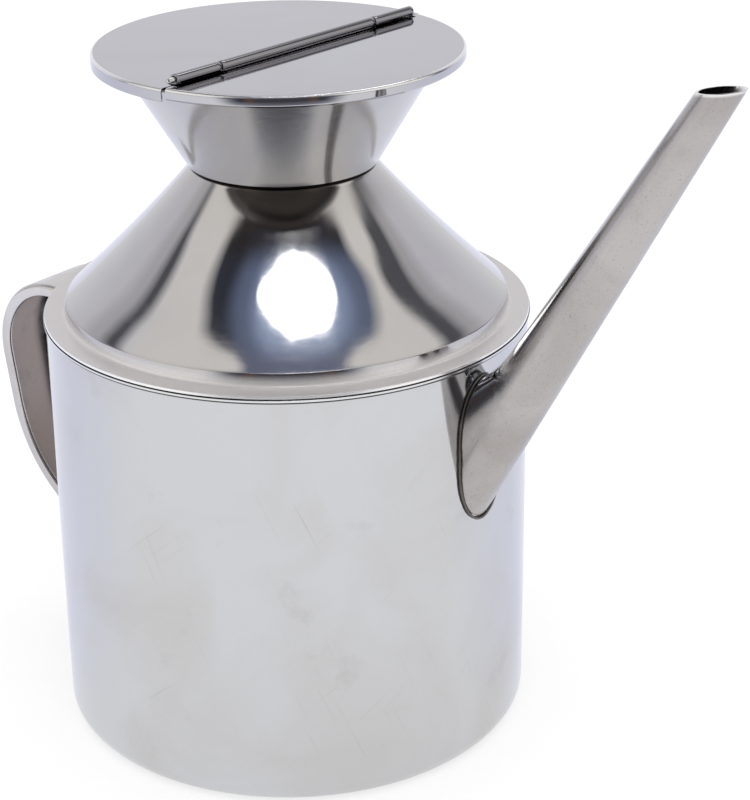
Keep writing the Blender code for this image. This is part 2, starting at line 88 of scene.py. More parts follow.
def rounded(corners, radii, steps=8, hold=0.0):
    """A line whose inner corners become arcs.

    Each arc touches both sides: it starts radius / tan(half the corner's angle) before
    the corner, and its centre is radius / sin(half) along the line that halves it.
    With `hold`, one more point stands that far before and after the arc, so that the
    arc's normals aren't blended over the long faces beside it.
    """
    corners = np.asarray(corners, float)
    points = [corners[:1]]
    for before, corner, after, radius in zip(corners, corners[1:], corners[2:], radii):
        back, ahead = unit(before - corner), unit(after - corner)
        half = math.acos(np.clip(back @ ahead, -1, 1)) / 2
        centre = corner + unit(back + ahead) * radius / math.sin(half)
        first = corner + back * radius / math.tan(half) - centre
        last = corner + ahead * radius / math.tan(half) - centre
        turn = math.atan2(first[0] * last[1] - first[1] * last[0], first @ last)
        angle = math.atan2(first[1], first[0]) + np.linspace(0, turn, steps)
        arc = centre + radius * np.stack([np.cos(angle), np.sin(angle)], -1)
        if hold:
            arc = np.vstack([arc[0] + back * hold, arc, arc[-1] + ahead * hold])
        points.append(arc)
    return np.vstack(points + [corners[-1:]])


def divided(line, longest):
    """The same line with extra points, so that no part is longer than `longest`."""
    pieces = [line[:1]]
    for a, b in zip(line, line[1:]):
        count = max(1, math.ceil(np.linalg.norm(b - a) / longest))
        pieces.append(a + (b - a) * np.arange(1, count + 1)[:, None] / count)
    return np.vstack(pieces)


def other_face(line, thickness):
    """The sheet's other face: each point moves to the line's right, by the mitre rule."""
    step = unit(np.diff(line, axis=0))
    normal = np.stack([step[:, 1], -step[:, 0]], -1)
    before, after = np.vstack([normal[:1], normal]), np.vstack([normal, normal[-1:]])
    mitre = (before + after) / (1 + (before * after).sum(-1))[:, None]
    return line + mitre * thickness


def sheet_loop(line, thickness, lips=(0.12 * MM, 0.12 * MM)):
    """A closed section: one face out, the other back, with the cut ends' corners eased."""
    other = other_face(line, thickness)
    across = unit(other - line)
    start, end = unit(line[1] - line[0]), unit(line[-2] - line[-1])
    first, last = lips
    near, far = (np.vstack([face[0] + side * across[0] * first, face[0] + start * first, face[1:-1],
                            face[-1] + end * last, face[-1] + side * across[-1] * last])
                 for face, side in ((line, 1), (other, -1)))
    return np.vstack([near, far[::-1]])


# %% [markdown]
# ## From grids to a piece
#
# A piece is one or more grids. Each grid may close on itself along its rows, its columns
# or both. Quads that shrink to a line, at a pole or a tapered end, are left out, and the
# rest share their corners after a merge, so every piece is a closed skin. Each corner also
# keeps how far it lies along and around the sheet, in metres, for patterns that follow it.

# %% Build a mesh from grids
PIECES = {}
MERGE_DISTANCE = 1e-7
NO_AREA = 1e-13  # twice a quad's area in square metres, below which it is a line


def new_object(name, data):
    """An object that holds the data and is linked to the scene."""
    thing = bpy.data.objects.new(name, data)
    bpy.context.scene.collection.objects.link(thing)
    return thing


def close_skin(mesh):
    """Merge doubles and turn the faces outwards; the answer counts the open edges."""
    skin = bmesh.new()
    skin.from_mesh(mesh)
    bmesh.ops.remove_doubles(skin, verts=skin.verts, dist=MERGE_DISTANCE)
    bmesh.ops.recalc_face_normals(skin, faces=skin.faces)
    open_edges = sum(not edge.is_manifold for edge in skin.edges)
    skin.to_mesh(mesh)
    skin.free()
    return open_edges


def grid_piece(name, grids, body, node, sharp=38.0, turn=None):
    """Make one object from (points, wrap_rows, wrap_columns, capped) grids."""
    verts, quads, uvs, start = [], [], [], 0
    for points, wrap_rows, wrap_columns, capped in grids:
        rows, columns = points.shape[:2]
        i, j = np.indices((rows - (not wrap_rows), columns - (not wrap_columns)))
        corner_rows = np.stack([i, i + 1, i + 1, i], -1)
        corner_columns = np.stack([j, j, j + 1, j + 1], -1)
        number = (corner_rows % rows) * columns + corner_columns % columns
        steps = (np.diff(points, axis=0, append=points[:1]), np.diff(points, axis=1, append=points[:, :1]))
        around, along = (np.append(0, np.cumsum(np.linalg.norm(step, axis=-1).mean(1 - k)))
                         for k, step in enumerate(steps))
        uv = np.stack([around[corner_rows], along[corner_columns]], -1)
        flat = points.reshape(-1, 3)
        quad, uv = number.reshape(-1, 4), uv.reshape(-1, 4, 2)
        if capped:
            k = np.arange(rows // 2 - 1)
            band = np.stack([k, k + 1, rows - 2 - k, rows - 1 - k], -1) * columns
            caps = np.vstack([band, band[:, ::-1] + columns - 1])
            quad, uv = np.vstack([quad, caps]), np.vstack([uv, np.zeros((len(caps), 4, 2))])
        a, b, c, d = flat[quad].transpose(1, 0, 2)
        real = np.linalg.norm(np.cross(c - a, d - b), axis=-1) > NO_AREA
        verts.append(flat)
        quads.append(quad[real] + start)
        uvs.append(uv[real])
        start += len(flat)
    verts, quads, uvs = np.vstack(verts), np.vstack(quads), np.vstack(uvs)
    if turn is not None:
        verts = verts @ np.array(turn.to_3x3()).T + np.array(turn.translation)
    mesh = bpy.data.meshes.new(name)
    mesh.from_pydata(verts.tolist(), [], quads.tolist())
    mesh.uv_layers.new(name="Sheet").data.foreach_set("uv", uvs.ravel())
    open_edges = close_skin(mesh)
    mesh.shade_smooth()
    mesh.set_sharp_from_angle(angle=math.radians(sharp))
    piece = new_object(name, mesh)
    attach(piece, body)
    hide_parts(node)
    PIECES[name] = piece
    print(f"{name}: {len(mesh.polygons)} faces, {open_edges} open edges")
    return piece


def volume(mesh):
    """How much steel a closed skin holds."""
    skin = bmesh.new()
    skin.from_mesh(mesh)
    amount = skin.calc_volume()
    skin.free()
    return amount


def mark(piece, name, amount_at):
    """Store a number from 0 to 1 at each point, worked out from its place and normal."""
    mesh = piece.data
    places, normals = np.empty(len(mesh.vertices) * 3), np.empty(len(mesh.vertices) * 3)
    mesh.vertices.foreach_get("co", places)
    mesh.vertices.foreach_get("normal", normals)
    amounts = np.asarray(amount_at(places.reshape(-1, 3), normals.reshape(-1, 3)), np.float32)
    mesh.attributes.new(name, "FLOAT", "POINT").data.foreach_set("value", amounts)
    print(f"{name} on {piece.name}: {100 * amounts.mean():.1f} % of its points")


def turned(line, thickness, lips, columns=256):
    """A sheet spun about Z: radius times (cos, sin) of each angle, at the loop's heights."""
    loop = sheet_loop(line, thickness, lips)
    angle = np.linspace(0, math.tau, columns, endpoint=False)
    radius, height = loop[:, :1], loop[:, 1:]
    points = [radius * np.cos(angle), radius * np.sin(angle), height + 0 * angle]
    return np.stack(points, -1), True, True, False


# %% [markdown]
# ## The cup
#
# The cup is drawn from one disc, so its base turns up into the wall through a rounded
# corner. The rim is turned out a little, where the shoulder is seamed on, and it shows as
# a bright ragged strip under the shoulder's edge. A pour hole is cut through the wall
# behind the spout. A Boolean cuts it out of the numpy surface, because its edge then
# lies exactly in the wall, and nothing around it is disturbed.

# %% The cup's line, from its rim to the middle of the base
SHEET = 0.5 * MM
GAP = 0.3 * MM
cup_low, cup_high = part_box("body_cup")
CUP_LIP_OUT = 0.45 * MM
CUP_RADIUS = (cup_high.x - cup_low.x) / 2 - CUP_LIP_OUT
CUP_HEIGHT = cup_high.z
WALL_FACE = CUP_RADIUS + GAP

cup_line = rounded(
    [(CUP_RADIUS + CUP_LIP_OUT, CUP_HEIGHT), (CUP_RADIUS + CUP_LIP_OUT, CUP_HEIGHT - 0.5 * MM),
     (CUP_RADIUS, CUP_HEIGHT - 1.0 * MM), (CUP_RADIUS, 0), (0, 0)],
    [0.15 * MM, 0.4 * MM, 4.3 * MM], steps=12)
cup = grid_piece("drawn_cup", [turned(divided(cup_line, 1.6 * MM), SHEET, (0.12 * MM, 0))],
                 "can", "body_cup")

# %% Cut the pour hole through the wall, behind the spout
SPOUT_HEIGHT = 76.8 * MM
HOLE_HALF_WIDTH, HOLE_HALF_HEIGHT, HOLE_RISE, PUNCH_REACH = 5.2 * MM, 9 * MM, 2.1 * MM, 6 * MM
HOLE_SIDES = 96
hole_angle = np.linspace(0, math.tau, HOLE_SIDES, endpoint=False)
hole_ring = np.stack([0 * hole_angle, HOLE_HALF_WIDTH * np.cos(hole_angle),
                      SPOUT_HEIGHT + HOLE_RISE + HOLE_HALF_HEIGHT * np.sin(hole_angle)], -1)
ends = [hole_ring + (CUP_RADIUS + reach, 0, 0) for reach in (-PUNCH_REACH, PUNCH_REACH)]
here = np.arange(HOLE_SIDES)
beside = (here + 1) % HOLE_SIDES
walls = np.stack([here, beside, beside + HOLE_SIDES, here + HOLE_SIDES], -1)
hole = bpy.data.meshes.new("pour_hole")
hole.from_pydata(np.vstack(ends).tolist(), [],
                 [here[::-1].tolist(), (here + HOLE_SIDES).tolist(), *walls.tolist()])
close_skin(hole)
punch = new_object("pour_hole_punch", hole)
cut = cup.modifiers.new("Pour hole", "BOOLEAN")
cut.operation, cut.solver, cut.object = "DIFFERENCE", "EXACT", punch
bpy.context.view_layer.update()
cut_mesh = bpy.data.meshes.new_from_object(cup.evaluated_get(bpy.context.evaluated_depsgraph_get()))
cup.modifiers.clear()
steel_before, cup.data = volume(cup.data), cut_mesh
bpy.data.objects.remove(punch)
print(f"the pour hole takes out {(steel_before - volume(cup.data)) / MM**3:.1f} mm3 of sheet")

# %% [markdown]
# ## The shoulder
#
# One spun pressing: a flat flange that rests on the cup, a short step, a cone and a low
# collar. The cone isn't quite straight. It dips 0.6 mm below the line from foot to collar,
# which is why it spreads the lamp overhead into a tall shape: a straight cone would squeeze
# it flat. It is the mirror of the can, so its curve is drawn with many points. The solids
# round the corner above the step by 4.5 mm. Here it is 0.35 mm, because a wide corner shows
# the lamp a second time, clearly, where the photograph shows at most a faint line. The
# surface moves 0.25 mm at most.

# %% The shoulder's line, from the collar down to the flange's edge
FLANGE_TOP = CUP_HEIGHT + GAP + SHEET
FLANGE_RADIUS = 55.2 * MM
STEP_RADIUS = FLANGE_RADIUS - 4.6 * MM
STEP_HEIGHT = 2.9 * MM
STEP_TOP = FLANGE_TOP + STEP_HEIGHT
CONE_FOOT = STEP_RADIUS - STEP_HEIGHT * math.tan(math.radians(9.5))
CONE_SAG = 0.61 * MM
COLLAR_RADIUS = 20.6 * MM
COLLAR_FOOT = STEP_TOP + (CONE_FOOT - COLLAR_RADIUS) * math.tan(math.radians(45.8))
COLLAR_TOP = COLLAR_FOOT + 0.5 * MM

share = np.append(np.linspace(0, 0.95, 39), 1.0)[:, None]
chord = np.array([CONE_FOOT - COLLAR_RADIUS, STEP_TOP - COLLAR_FOOT])
dip = unit(np.array([chord[1], -chord[0]])) * CONE_SAG
cone = (COLLAR_RADIUS, COLLAR_FOOT) + chord * share + dip * 4 * share * (1 - share)
shoulder_line = np.vstack([
    rounded([(COLLAR_RADIUS, COLLAR_TOP), *cone[:2]], [0.8 * MM], steps=10),
    cone[2:-2],
    rounded([*cone[-2:], (STEP_RADIUS, FLANGE_TOP), (FLANGE_RADIUS, FLANGE_TOP),
             (FLANGE_RADIUS + 0.1 * MM, FLANGE_TOP - 0.62 * MM)],
            [0.35 * MM, 0.9 * MM, 0.2 * MM], steps=14, hold=0.03 * MM)])
grid_piece("pressed_shoulder",
           [turned(divided(shoulder_line, 1.5 * MM), SHEET, (0.1 * MM, 0.05 * MM), 320)],
           "can", "shoulder")

# %% [markdown]
# ## The filling neck
#
# A funnel with a flat flange at the top, which the lid closes on, and a spigot that drops
# into the shoulder's collar. It stands 0.9 mm over the collar, and the dark under that
# overhang is the crisp black line at the waist, made darker by painted shade on the collar.

# %% The neck's line, from the flange's edge down to the spigot's end
WAIST = COLLAR_TOP + GAP
FUNNEL_RADIUS = COLLAR_RADIUS + 0.9 * MM
NECK_SLOPE = math.radians(59.2)
NECK_HEIGHT = 24.25 * MM
NECK_FLANGE_IN = FUNNEL_RADIUS + NECK_HEIGHT / math.tan(NECK_SLOPE)
NECK_FLANGE = NECK_FLANGE_IN + 3.8 * MM
SPIGOT = COLLAR_RADIUS - SHEET - GAP

neck_line = rounded(
    [(NECK_FLANGE, WAIST + NECK_HEIGHT), (NECK_FLANGE_IN, WAIST + NECK_HEIGHT),
     (FUNNEL_RADIUS, WAIST), (SPIGOT, WAIST), (SPIGOT, WAIST - 6 * MM)],
    [0.5 * MM, 0.1 * MM, 0.25 * MM], steps=7)
grid_piece("filling_neck",
           [turned(divided(neck_line, 1.5 * MM), SHEET, (0.1 * MM, 0.1 * MM))],
           "can", "funnel_neck")

# %% [markdown]
# ## The lid's two halves
#
# The front half is crimped under the neck's flange and never moves. The rear half is a
# flap with a loose skirt. Both are the same kind of surface: every column starts on the
# straight edge by the hinge, crosses the plate, rolls over the rim and runs down the
# skirt. The hinge line is turned three degrees from square, as on the real can.

# %% One half of the lid as a grid
LID_SHEET = 0.45 * MM
LID_TOP = WAIST + NECK_HEIGHT + SHEET + GAP + LID_SHEET
HINGE_OFFSET = 5.5 * MM
LID_TURN = Matrix.Rotation(math.radians(-3.0), 4, "Z")
RIM_CORNER = 0.8 * MM
HALF_LENGTH = 37.2 * MM
PIN_RADIUS = 0.62 * MM
KNUCKLE_BORE = PIN_RADIUS + 0.08 * MM
KNUCKLE_RADIUS = KNUCKLE_BORE + LID_SHEET
SETBACK, EAR = 1.6 * MM, 0.25 * MM


def lid_half(rim_line, radius, toward, columns=360):
    """Columns run from the hinge edge to the rim, then down the skirt.

    At rim angle a, a plate point is the mix (1 - f) * edge + f * ring, where the ring
    point is radius * (cos a, sin a) and the edge point has the hinge side's x. Skirt
    points are ring points with their own radius.
    """
    ring = radius - RIM_CORNER
    plate = np.stack([np.linspace(0, ring, 40), np.full(40, LID_TOP)], -1)
    loop = sheet_loop(np.vstack([plate[:-1], rim_line]), LID_SHEET, (0.05 * MM, 0.1 * MM))
    on_plate = (loop[:, 1] > LID_TOP - LID_SHEET - 0.01 * MM) & (loop[:, 0] <= ring + 1e-6)
    side = toward * HINGE_OFFSET
    last = math.acos((side + EAR + 0.02 * MM) / ring)
    angle = np.linspace(-last, last, columns)
    edge_y = ring * math.sin(last) * np.sin(angle / last * math.pi / 2)
    step = np.clip((np.abs(edge_y) - HALF_LENGTH - GAP) / (0.2 * MM), 0, 1)
    edge_x = side + SETBACK + (EAR - SETBACK) * step
    share = np.where(on_plate, loop[:, 0] / ring, 1.0)[:, None]
    reach = np.where(on_plate, ring, loop[:, 0])[:, None]
    x = edge_x * (1 - share) + reach * np.cos(angle) * share
    y = edge_y * (1 - share) + reach * np.sin(angle) * share
    return np.stack([toward * x, y, loop[:, 1:] + 0 * x], -1), True, False, True


def rim(radius, *below):
    """The rim's rolled corner, then the skirt's corners as (inwards, down) from it."""
    corners = [(radius - RIM_CORNER, LID_TOP), (radius, LID_TOP)]
    corners += [(radius - inwards, LID_TOP - down) for inwards, down in below]
    line = rounded(corners, [RIM_CORNER - 1e-6] + [0.3 * MM] * (len(below) - 1), steps=9)
    return divided(line, 0.6 * MM)


# %% [markdown]
# The hinge is three rolled knuckles round a loose wire pin. Each knuckle is a leaf that
# leaves the plate, rises a little and rolls nearly all the way round: a line offset to a
# strip and carried along the hinge. Its ends are eased so that they catch the light.

# %% A rolled knuckle
def knuckle(toward, y_from, y_to):
    """The rolled leaf's strip, repeated at each station along the hinge."""
    middle = KNUCKLE_BORE + LID_SHEET / 2
    plate = -KNUCKLE_RADIUS - LID_SHEET / 2
    away = np.linspace(SETBACK + 1.2 * MM, 0.05 * MM, 16)
    rise = np.clip((SETBACK - away) / SETBACK, 0, 1)
    leaf = np.stack([away, plate - (plate + middle) * (3 - 2 * rise) * rise**2], -1)
    angle = -math.pi / 2 - np.linspace(0, math.radians(290), 56)
    roll = middle * np.stack([np.cos(angle), np.sin(angle)], -1)
    line = np.vstack([leaf, roll])
    thickness = np.where(np.arange(len(line)) < 8, 0.9, 1.0)[:, None] * LID_SHEET
    along = unit(np.gradient(line, axis=0))
    normal = np.stack([-along[:, 1], along[:, 0]], -1)
    ends = np.array([0, 0.02, 0.1]) * MM
    y = np.concatenate([y_from + ends, np.linspace(y_from + 1 * MM, y_to - 1 * MM, 24),
                        y_to - ends[::-1]])
    ease = np.ones(len(y))
    ease[[0, -1]], ease[[1, -2]] = 0.55, 0.8
    offset = normal[:, None] * (thickness / 2 * ease)[:, :, None]
    strip = np.concatenate([line[:, None] + offset, (line[:, None] - offset)[::-1]])
    x, z = toward * strip[..., 0] + HINGE_OFFSET, strip[..., 1] + LID_TOP + KNUCKLE_RADIUS
    return np.stack([x, y + 0 * x, z], -1), True, False, True


# %% The front half, the flap and the pin
SPLIT = 24.0 * MM
FRONT_RADIUS = NECK_FLANGE + 0.45 * MM + LID_SHEET
FLAP_RADIUS = NECK_FLANGE + 1.0 * MM + LID_SHEET
front_rim = rim(FRONT_RADIUS, (0, 2.1 * MM), (0.5 * MM, 2.6 * MM), (1.5 * MM, 2.6 * MM))
front = grid_piece("lid_front_half",
                   [lid_half(front_rim, FRONT_RADIUS, 1), knuckle(1, -SPLIT, SPLIT)],
                   "can", "lid_fixed_half", turn=LID_TURN)
flap = grid_piece("lid_rear_flap",
                  [lid_half(rim(FLAP_RADIUS, (0, 2.8 * MM)), FLAP_RADIUS, -1),
                   knuckle(-1, -HALF_LENGTH, -SPLIT - GAP), knuckle(-1, SPLIT + GAP, HALF_LENGTH)],
                  "flap", "lid_flap", turn=LID_TURN)


def wire(radius, y_from, y_to, columns=48):
    """A round wire along the hinge, its ends domed: radius * sin and cos at each station."""
    dome = np.linspace(0, math.pi / 2, 8)
    size = np.concatenate([radius * np.sin(dome), radius * np.cos(dome)])
    y = np.concatenate([y_from + radius * (1 - np.cos(dome)), y_to - radius * (1 - np.sin(dome))])
    angle = np.linspace(0, math.tau, columns, endpoint=False)[:, None]
    x = HINGE_OFFSET + size * np.cos(angle)
    z = LID_TOP + KNUCKLE_RADIUS + size * np.sin(angle)
    return np.stack([x, y + 0 * x, z], -1), True, False, False


grid_piece("hinge_wire", [wire(PIN_RADIUS, -HALF_LENGTH - 2 * MM, HALF_LENGTH - 0.4 * MM)],
           "can", "hinge_pin", turn=LID_TURN)

# %% [markdown]
# ## The spout
#
# A sheet rolled to a long cone, flared on its upper side where it meets the cup, and cut
# on a slant at the mouth. Its root is found on the wall itself: along every line of the
# cone, halving steps find where it is as far from the can's axis as the wall's face.

# %% The spout's surface
SPOUT_LENGTH, ROOT_RADIUS, TIP_RADIUS = 106.25 * MM, 7.4 * MM, 4.02 * MM
SPOUT_ANGLE, MOUTH_TILT = math.radians(59.05), math.radians(9.7)
TAPER = (TIP_RADIUS - ROOT_RADIUS) / SPOUT_LENGTH
FLARE_LENGTH, FLARE_BLEND, FLARE_SLOPE = 23 * MM, 3 * MM, 0.32
SPOUT_PLACE = Matrix.Translation((CUP_RADIUS, 0, SPOUT_HEIGHT)) @ Matrix.Rotation(
    math.pi / 2 - SPOUT_ANGLE, 4, "Y")


def spout_skin(along, around, offset):
    """A cone whose radius is root + taper * distance, plus a flare on its upper side.

    The flare grows smoothly to a straight line below 23 mm, and is weighted by the square
    of how far the point faces up.
    """
    short = FLARE_LENGTH - along
    flare = FLARE_SLOPE * (np.sqrt(short**2 + FLARE_BLEND**2) + short) / 2
    radius = ROOT_RADIUS + TAPER * along + flare * np.clip(-np.cos(around), 0, 1)**2 + offset
    local = np.stack([radius * np.cos(around), radius * np.sin(around), along + 0 * around], -1)
    return local @ np.array(SPOUT_PLACE.to_3x3()).T + np.array(SPOUT_PLACE.translation)


def root_distance(around, offset, face):
    """How far along the spout each line leaves the wall, by halving steps."""
    low, high = np.full(around.shape, -60 * MM), np.full(around.shape, SPOUT_LENGTH)
    for _ in range(40):
        middle = (low + high) / 2
        outside = np.hypot(*spout_skin(middle, around, offset)[..., :2].T) > face
        low, high = np.where(outside, low, middle), np.where(outside, middle, high)
    return high


def mouth_distance(around, offset):
    """How far along the spout each line meets the mouth's slanted plane."""
    level = np.cos(around) / math.tan(SPOUT_ANGLE - MOUTH_TILT)
    return (SPOUT_LENGTH + (ROOT_RADIUS + offset) * level) / (1 - TAPER * level)


around = np.linspace(0, math.tau, 192, endpoint=False)
share = np.linspace(0, 1, 110)[:, None]**1.15
ease = 0.1 * MM


def spout_face(offset, trim):
    """One face of the spout's sheet, from its root on the wall to just short of the lip."""
    root = root_distance(around, offset, WALL_FACE)
    return spout_skin(root + share * (mouth_distance(around, offset) - trim - root), around, offset)


outside = spout_face(0, ease)
inside = spout_face(-SHEET, ease)
lip = [spout_skin(mouth_distance(around, -o), around, -o)[None] for o in (ease, SHEET - ease)]
spout = grid_piece("rolled_spout", [(np.vstack([outside, *lip, inside[::-1]]), True, True, False)],
                   "can", "spout")

# %% [markdown]
# ## The handle
#
# A strap folded to a shallow channel, with its edges hemmed back inside so that they don't
# cut the hand, and bent to a D. The section is carried along the bent line while it gets
# narrower towards the foot. Both ends are found on the cup's wall, line by line.

# %% The strap's path and section
HANDLE_TOP, HANDLE_FOOT = CUP_HEIGHT - 8.8 * MM, 14.0 * MM
HANDLE_REACH, KNEE_REACH, KNEE_HEIGHT = 37 * MM, 30.2 * MM, CUP_HEIGHT - 58 * MM
handle_corners = [(CUP_RADIUS, HANDLE_TOP), (CUP_RADIUS + HANDLE_REACH, HANDLE_TOP),
                  (CUP_RADIUS + KNEE_REACH, KNEE_HEIGHT), (CUP_RADIUS, HANDLE_FOOT)]
STRAP_WIDTHS = 20 * MM, 15 * MM
strap_path = divided(rounded(handle_corners, [20 * MM, 37.9 * MM], steps=30), 1.5 * MM)


def strap_section(half_width):
    """Middle line of half the channel: face, bend, side and the hem rolled back inside."""
    skin, fold, hem = SHEET / 2, 1.2 * MM, 0.5 * MM
    side, edge = half_width - skin, 3.2 * MM - hem - skin
    bend = fold - skin
    a = np.linspace(-math.pi / 2, 0, 9)
    corner = np.stack([side - bend + bend * np.cos(a), skin + bend + bend * np.sin(a)], -1)
    a = np.linspace(0, math.pi, 11)
    roll = np.stack([side - hem + hem * np.cos(a), edge + hem * np.sin(a)], -1)
    half = np.vstack([corner, roll, [[side - 2 * hem, edge - 1.4 * MM]]])
    face = np.stack([np.linspace(-corner[0, 0], corner[0, 0], 14)[1:-1], np.full(12, skin)], -1)
    line = np.vstack([(half * (-1, 1))[::-1], face, half])
    return sheet_loop(other_face(line, -SHEET / 2), SHEET, (0.1 * MM, 0.1 * MM))


# %% Carry the section along the path
along = unit(np.gradient(strap_path, axis=0))
along[0], along[-1] = unit(strap_path[1] - strap_path[0]), unit(strap_path[-1] - strap_path[-2])
inward = np.stack([along[:, 1], -along[:, 0]], -1)
length = np.concatenate([[0], np.cumsum(np.linalg.norm(np.diff(strap_path, axis=0), axis=-1))])
width = STRAP_WIDTHS[0] + (STRAP_WIDTHS[1] - STRAP_WIDTHS[0]) * length / length[-1]
wide, narrow = (strap_section(w / 2) for w in STRAP_WIDTHS)
mix = ((STRAP_WIDTHS[0] - width) / (STRAP_WIDTHS[0] - STRAP_WIDTHS[1]))[:, None, None]
section = wide + (narrow - wide) * mix
strap = strap_path[:, None] + section[..., 1:] * inward[:, None]
wall = np.sqrt(WALL_FACE**2 - section[..., 0]**2)
for end, neighbour in ((0, 1), (-1, -2)):
    direction = along[end]
    reach = (wall[end] - strap[end, :, 0]) / direction[0]
    strap[end] += reach[:, None] * direction
    inside_wall = strap[neighbour, :, 0] < wall[neighbour] + 0.4 * MM
    next_ring = strap[2 * neighbour]
    strap[neighbour] = np.where(inside_wall[:, None], strap[end] + (next_ring - strap[end]) * 0.3,
                                strap[neighbour])
strap = np.stack([-strap[..., 0], section[..., 0], strap[..., 1]], -1).transpose(1, 0, 2)
handle = grid_piece("channel_handle", [(strap, True, False, True)], "can", "handle")

# %% [markdown]
# ## The welds
#
# The spout and the handle are joined to the cup by small beads. A bead is a tube carried
# along its line on the wall. Its radius rises and falls a little, as each drop of filler
# froze on the last one.

# %% A lumpy bead along a line on the wall
rng = np.random.default_rng(11)


def bead(points, radius, closed, sides=14):
    """A tube: point + radius * (cos a * outward + sin a * sideways), with ripples."""
    if closed:
        tangent = unit(np.roll(points, -1, 0) - np.roll(points, 1, 0))
    else:
        tangent = unit(np.gradient(points, axis=0))
    outward = unit(points * (1, 1, 0))
    sideways = unit(np.cross(tangent, outward))
    count = len(points)
    ripple = np.convolve(rng.normal(0, 1, count * 3), np.hanning(9), "same")[count:2 * count]
    ripple *= 0.07 / max(ripple.std(), 1e-9)
    size = np.ravel(radius) * (0.94 + np.clip(ripple, -0.14, 0.14))
    if not closed:
        end = np.clip(np.arange(count) / 5, 0, 1)
        size *= np.sqrt(np.clip(1 - (1 - np.minimum(end, end[::-1]))**2, 0, 1))
    angle = np.linspace(0, math.tau, sides, endpoint=False)[:, None, None]
    ring = np.cos(angle) * outward + np.sin(angle) * sideways
    tube = points + size[:, None] * ring
    return tube, True, closed, False


ring_angle = np.linspace(0, math.tau, 260, endpoint=False)
HANDLE_BEAD = 0.7 * MM
CLEAR = GAP + HANDLE_BEAD
BEAD_SEAT = 0.32 * MM
root_ring = root_distance(ring_angle, BEAD_SEAT, CUP_RADIUS + BEAD_SEAT)
spout_ring = spout_skin(root_ring, ring_angle, BEAD_SEAT)
bead_size = (0.33 - 0.1 * np.clip(-np.cos(ring_angle), 0, 1)**2) * MM
grid_piece("spout_weld_bead", [bead(spout_ring, bead_size, True)],
           "can", "spout_weld", sharp=80)


def wall_line(height, width_across):
    """Points on the wall at one height, across the middle of the handle's side."""
    radius = CUP_RADIUS + CLEAR
    reach = math.asin(width_across / 2 / radius)
    a = np.linspace(-reach, reach, 70)
    return radius * np.stack([-np.cos(a), np.sin(a), 0 * a + height / radius], -1)


slope = (KNEE_HEIGHT - HANDLE_FOOT) / KNEE_REACH
foot_height = HANDLE_FOOT - CLEAR * (math.hypot(1, slope) - slope)
for name, node, height, across in (
        ("handle_top_bead", "handle_top_weld", HANDLE_TOP + CLEAR, STRAP_WIDTHS[0]),
        ("handle_foot_bead", "handle_foot_weld", foot_height, STRAP_WIDTHS[1])):
    grid_piece(name, [bead(wall_line(height, across), HANDLE_BEAD, False)],
               "can", node, sharp=80)

# %% [markdown]
# ## Where each piece is worn, and where light and shade are painted
#
# Some places look different from the rest of their piece: the strap is dull inside, where
# no wheel reached it, and the spout's cut lip is bright. Light and shade are painted too:
# a dark line of painted shade on each hem, painted shade on the far part of the strap's
# inner face, and a painted highlight on the lid's rim. Each is a number stored at the
# mesh's own points.

# %% Mark the dull and bright places, and where light and shade are painted
D_MIDDLE = np.array([-CUP_RADIUS - 12 * MM, 0, 52 * MM])


def strap_half_width(places):
    """Half the strap's width at the nearest place on its path."""
    gaps = np.hypot(-places[:, :1] - strap_path[:, 0], places[:, 2:] - strap_path[:, 1])
    return width[gaps.argmin(1)] / 2


def looks_inwards(places, normals):
    """How far a face of the strap looks at the middle of the D, from -1 to 1."""
    return (normals * unit((D_MIDDLE - places) * (1, 0, 1))).sum(-1)


def strap_inside(places, normals):
    """1 where the face looks at the middle of the D, between the two hems."""
    between_hems = np.abs(places[:, 1]) < strap_half_width(places) - 1.35 * MM
    return (looks_inwards(places, normals) > 0.25) & between_hems


def painted_hem_shade_line(places, normals):
    """1 along the outer part of each hem's top, 0.4 to 0.66 mm in from the strap's side, where a dark line of
    painted shade goes.
    """
    inwards = strap_half_width(places) - np.abs(places[:, 1])
    return (np.abs(inwards - 0.53 * MM) < 0.13 * MM) & (looks_inwards(places, normals) > 0.4)


def painted_far_side_shade(places, normals):
    """1 on the inner face from 4.5 mm to the rear hem, which the photo shows dark, where painted shade goes.
    """
    return strap_inside(places, normals) * np.clip((places[:, 1] - 2.5 * MM) / (2 * MM), 0, 1)


def mouth_lip(places, normals):
    """1 within 0.16 mm of the slanted plane that cuts the spout's mouth."""
    local = np.c_[places, np.ones(len(places))] @ np.array(SPOUT_PLACE.inverted()).T
    below = SPOUT_LENGTH + local[:, 0] / math.tan(SPOUT_ANGLE - MOUTH_TILT) - local[:, 2]
    return below < 0.16 * MM


def rim_painted_highlight(places, normals):
    """1 where the lid's rolled rim looks both up and out, which is where a painted highlight goes."""
    outward = (normals[:, :2] * unit(places[:, :2] + 1e-9)).sum(-1)
    near_edge = np.hypot(*places[:, :2].T) > FRONT_RADIUS - 1.2 * MM
    return (normals[:, 2] > 0.2) & (outward > 0.25) & near_edge


for piece, amount_at in ((handle, strap_inside), (handle, painted_far_side_shade), (handle, painted_hem_shade_line),
                         (spout, mouth_lip), (front, rim_painted_highlight), (flap, rim_painted_highlight)):
    mark(piece, amount_at.__name__, amount_at)

# %% [markdown]
# ## Finishes
#
# All of it is taken to be 18/8 stainless steel, the usual grade for such a can, and what
# differs is how each face was worked, apart from some places where light and shade are
# painted. One function adds a node with its settings and inputs. The steel function builds
# a finish from a colour, a roughness, the direction of its grain, its smudges and its worn
# and painted places.

# %% Colours and nodes
def linear(code, level=1.0):
    """An sRGB hex colour as linear light, times a level."""
    values = np.array([int(code[i:i + 2], 16) / 255 for i in (1, 3, 5)])
    values = np.where(values <= 0.04045, values / 12.92, ((values + 0.055) / 1.055)**2.4)
    return (*(values * level).tolist(), 1.0)


def empty_tree(owner):
    """The node tree of a material or a world, with nothing in it."""
    owner.use_nodes = True
    owner.node_tree.nodes.clear()
    return owner.node_tree


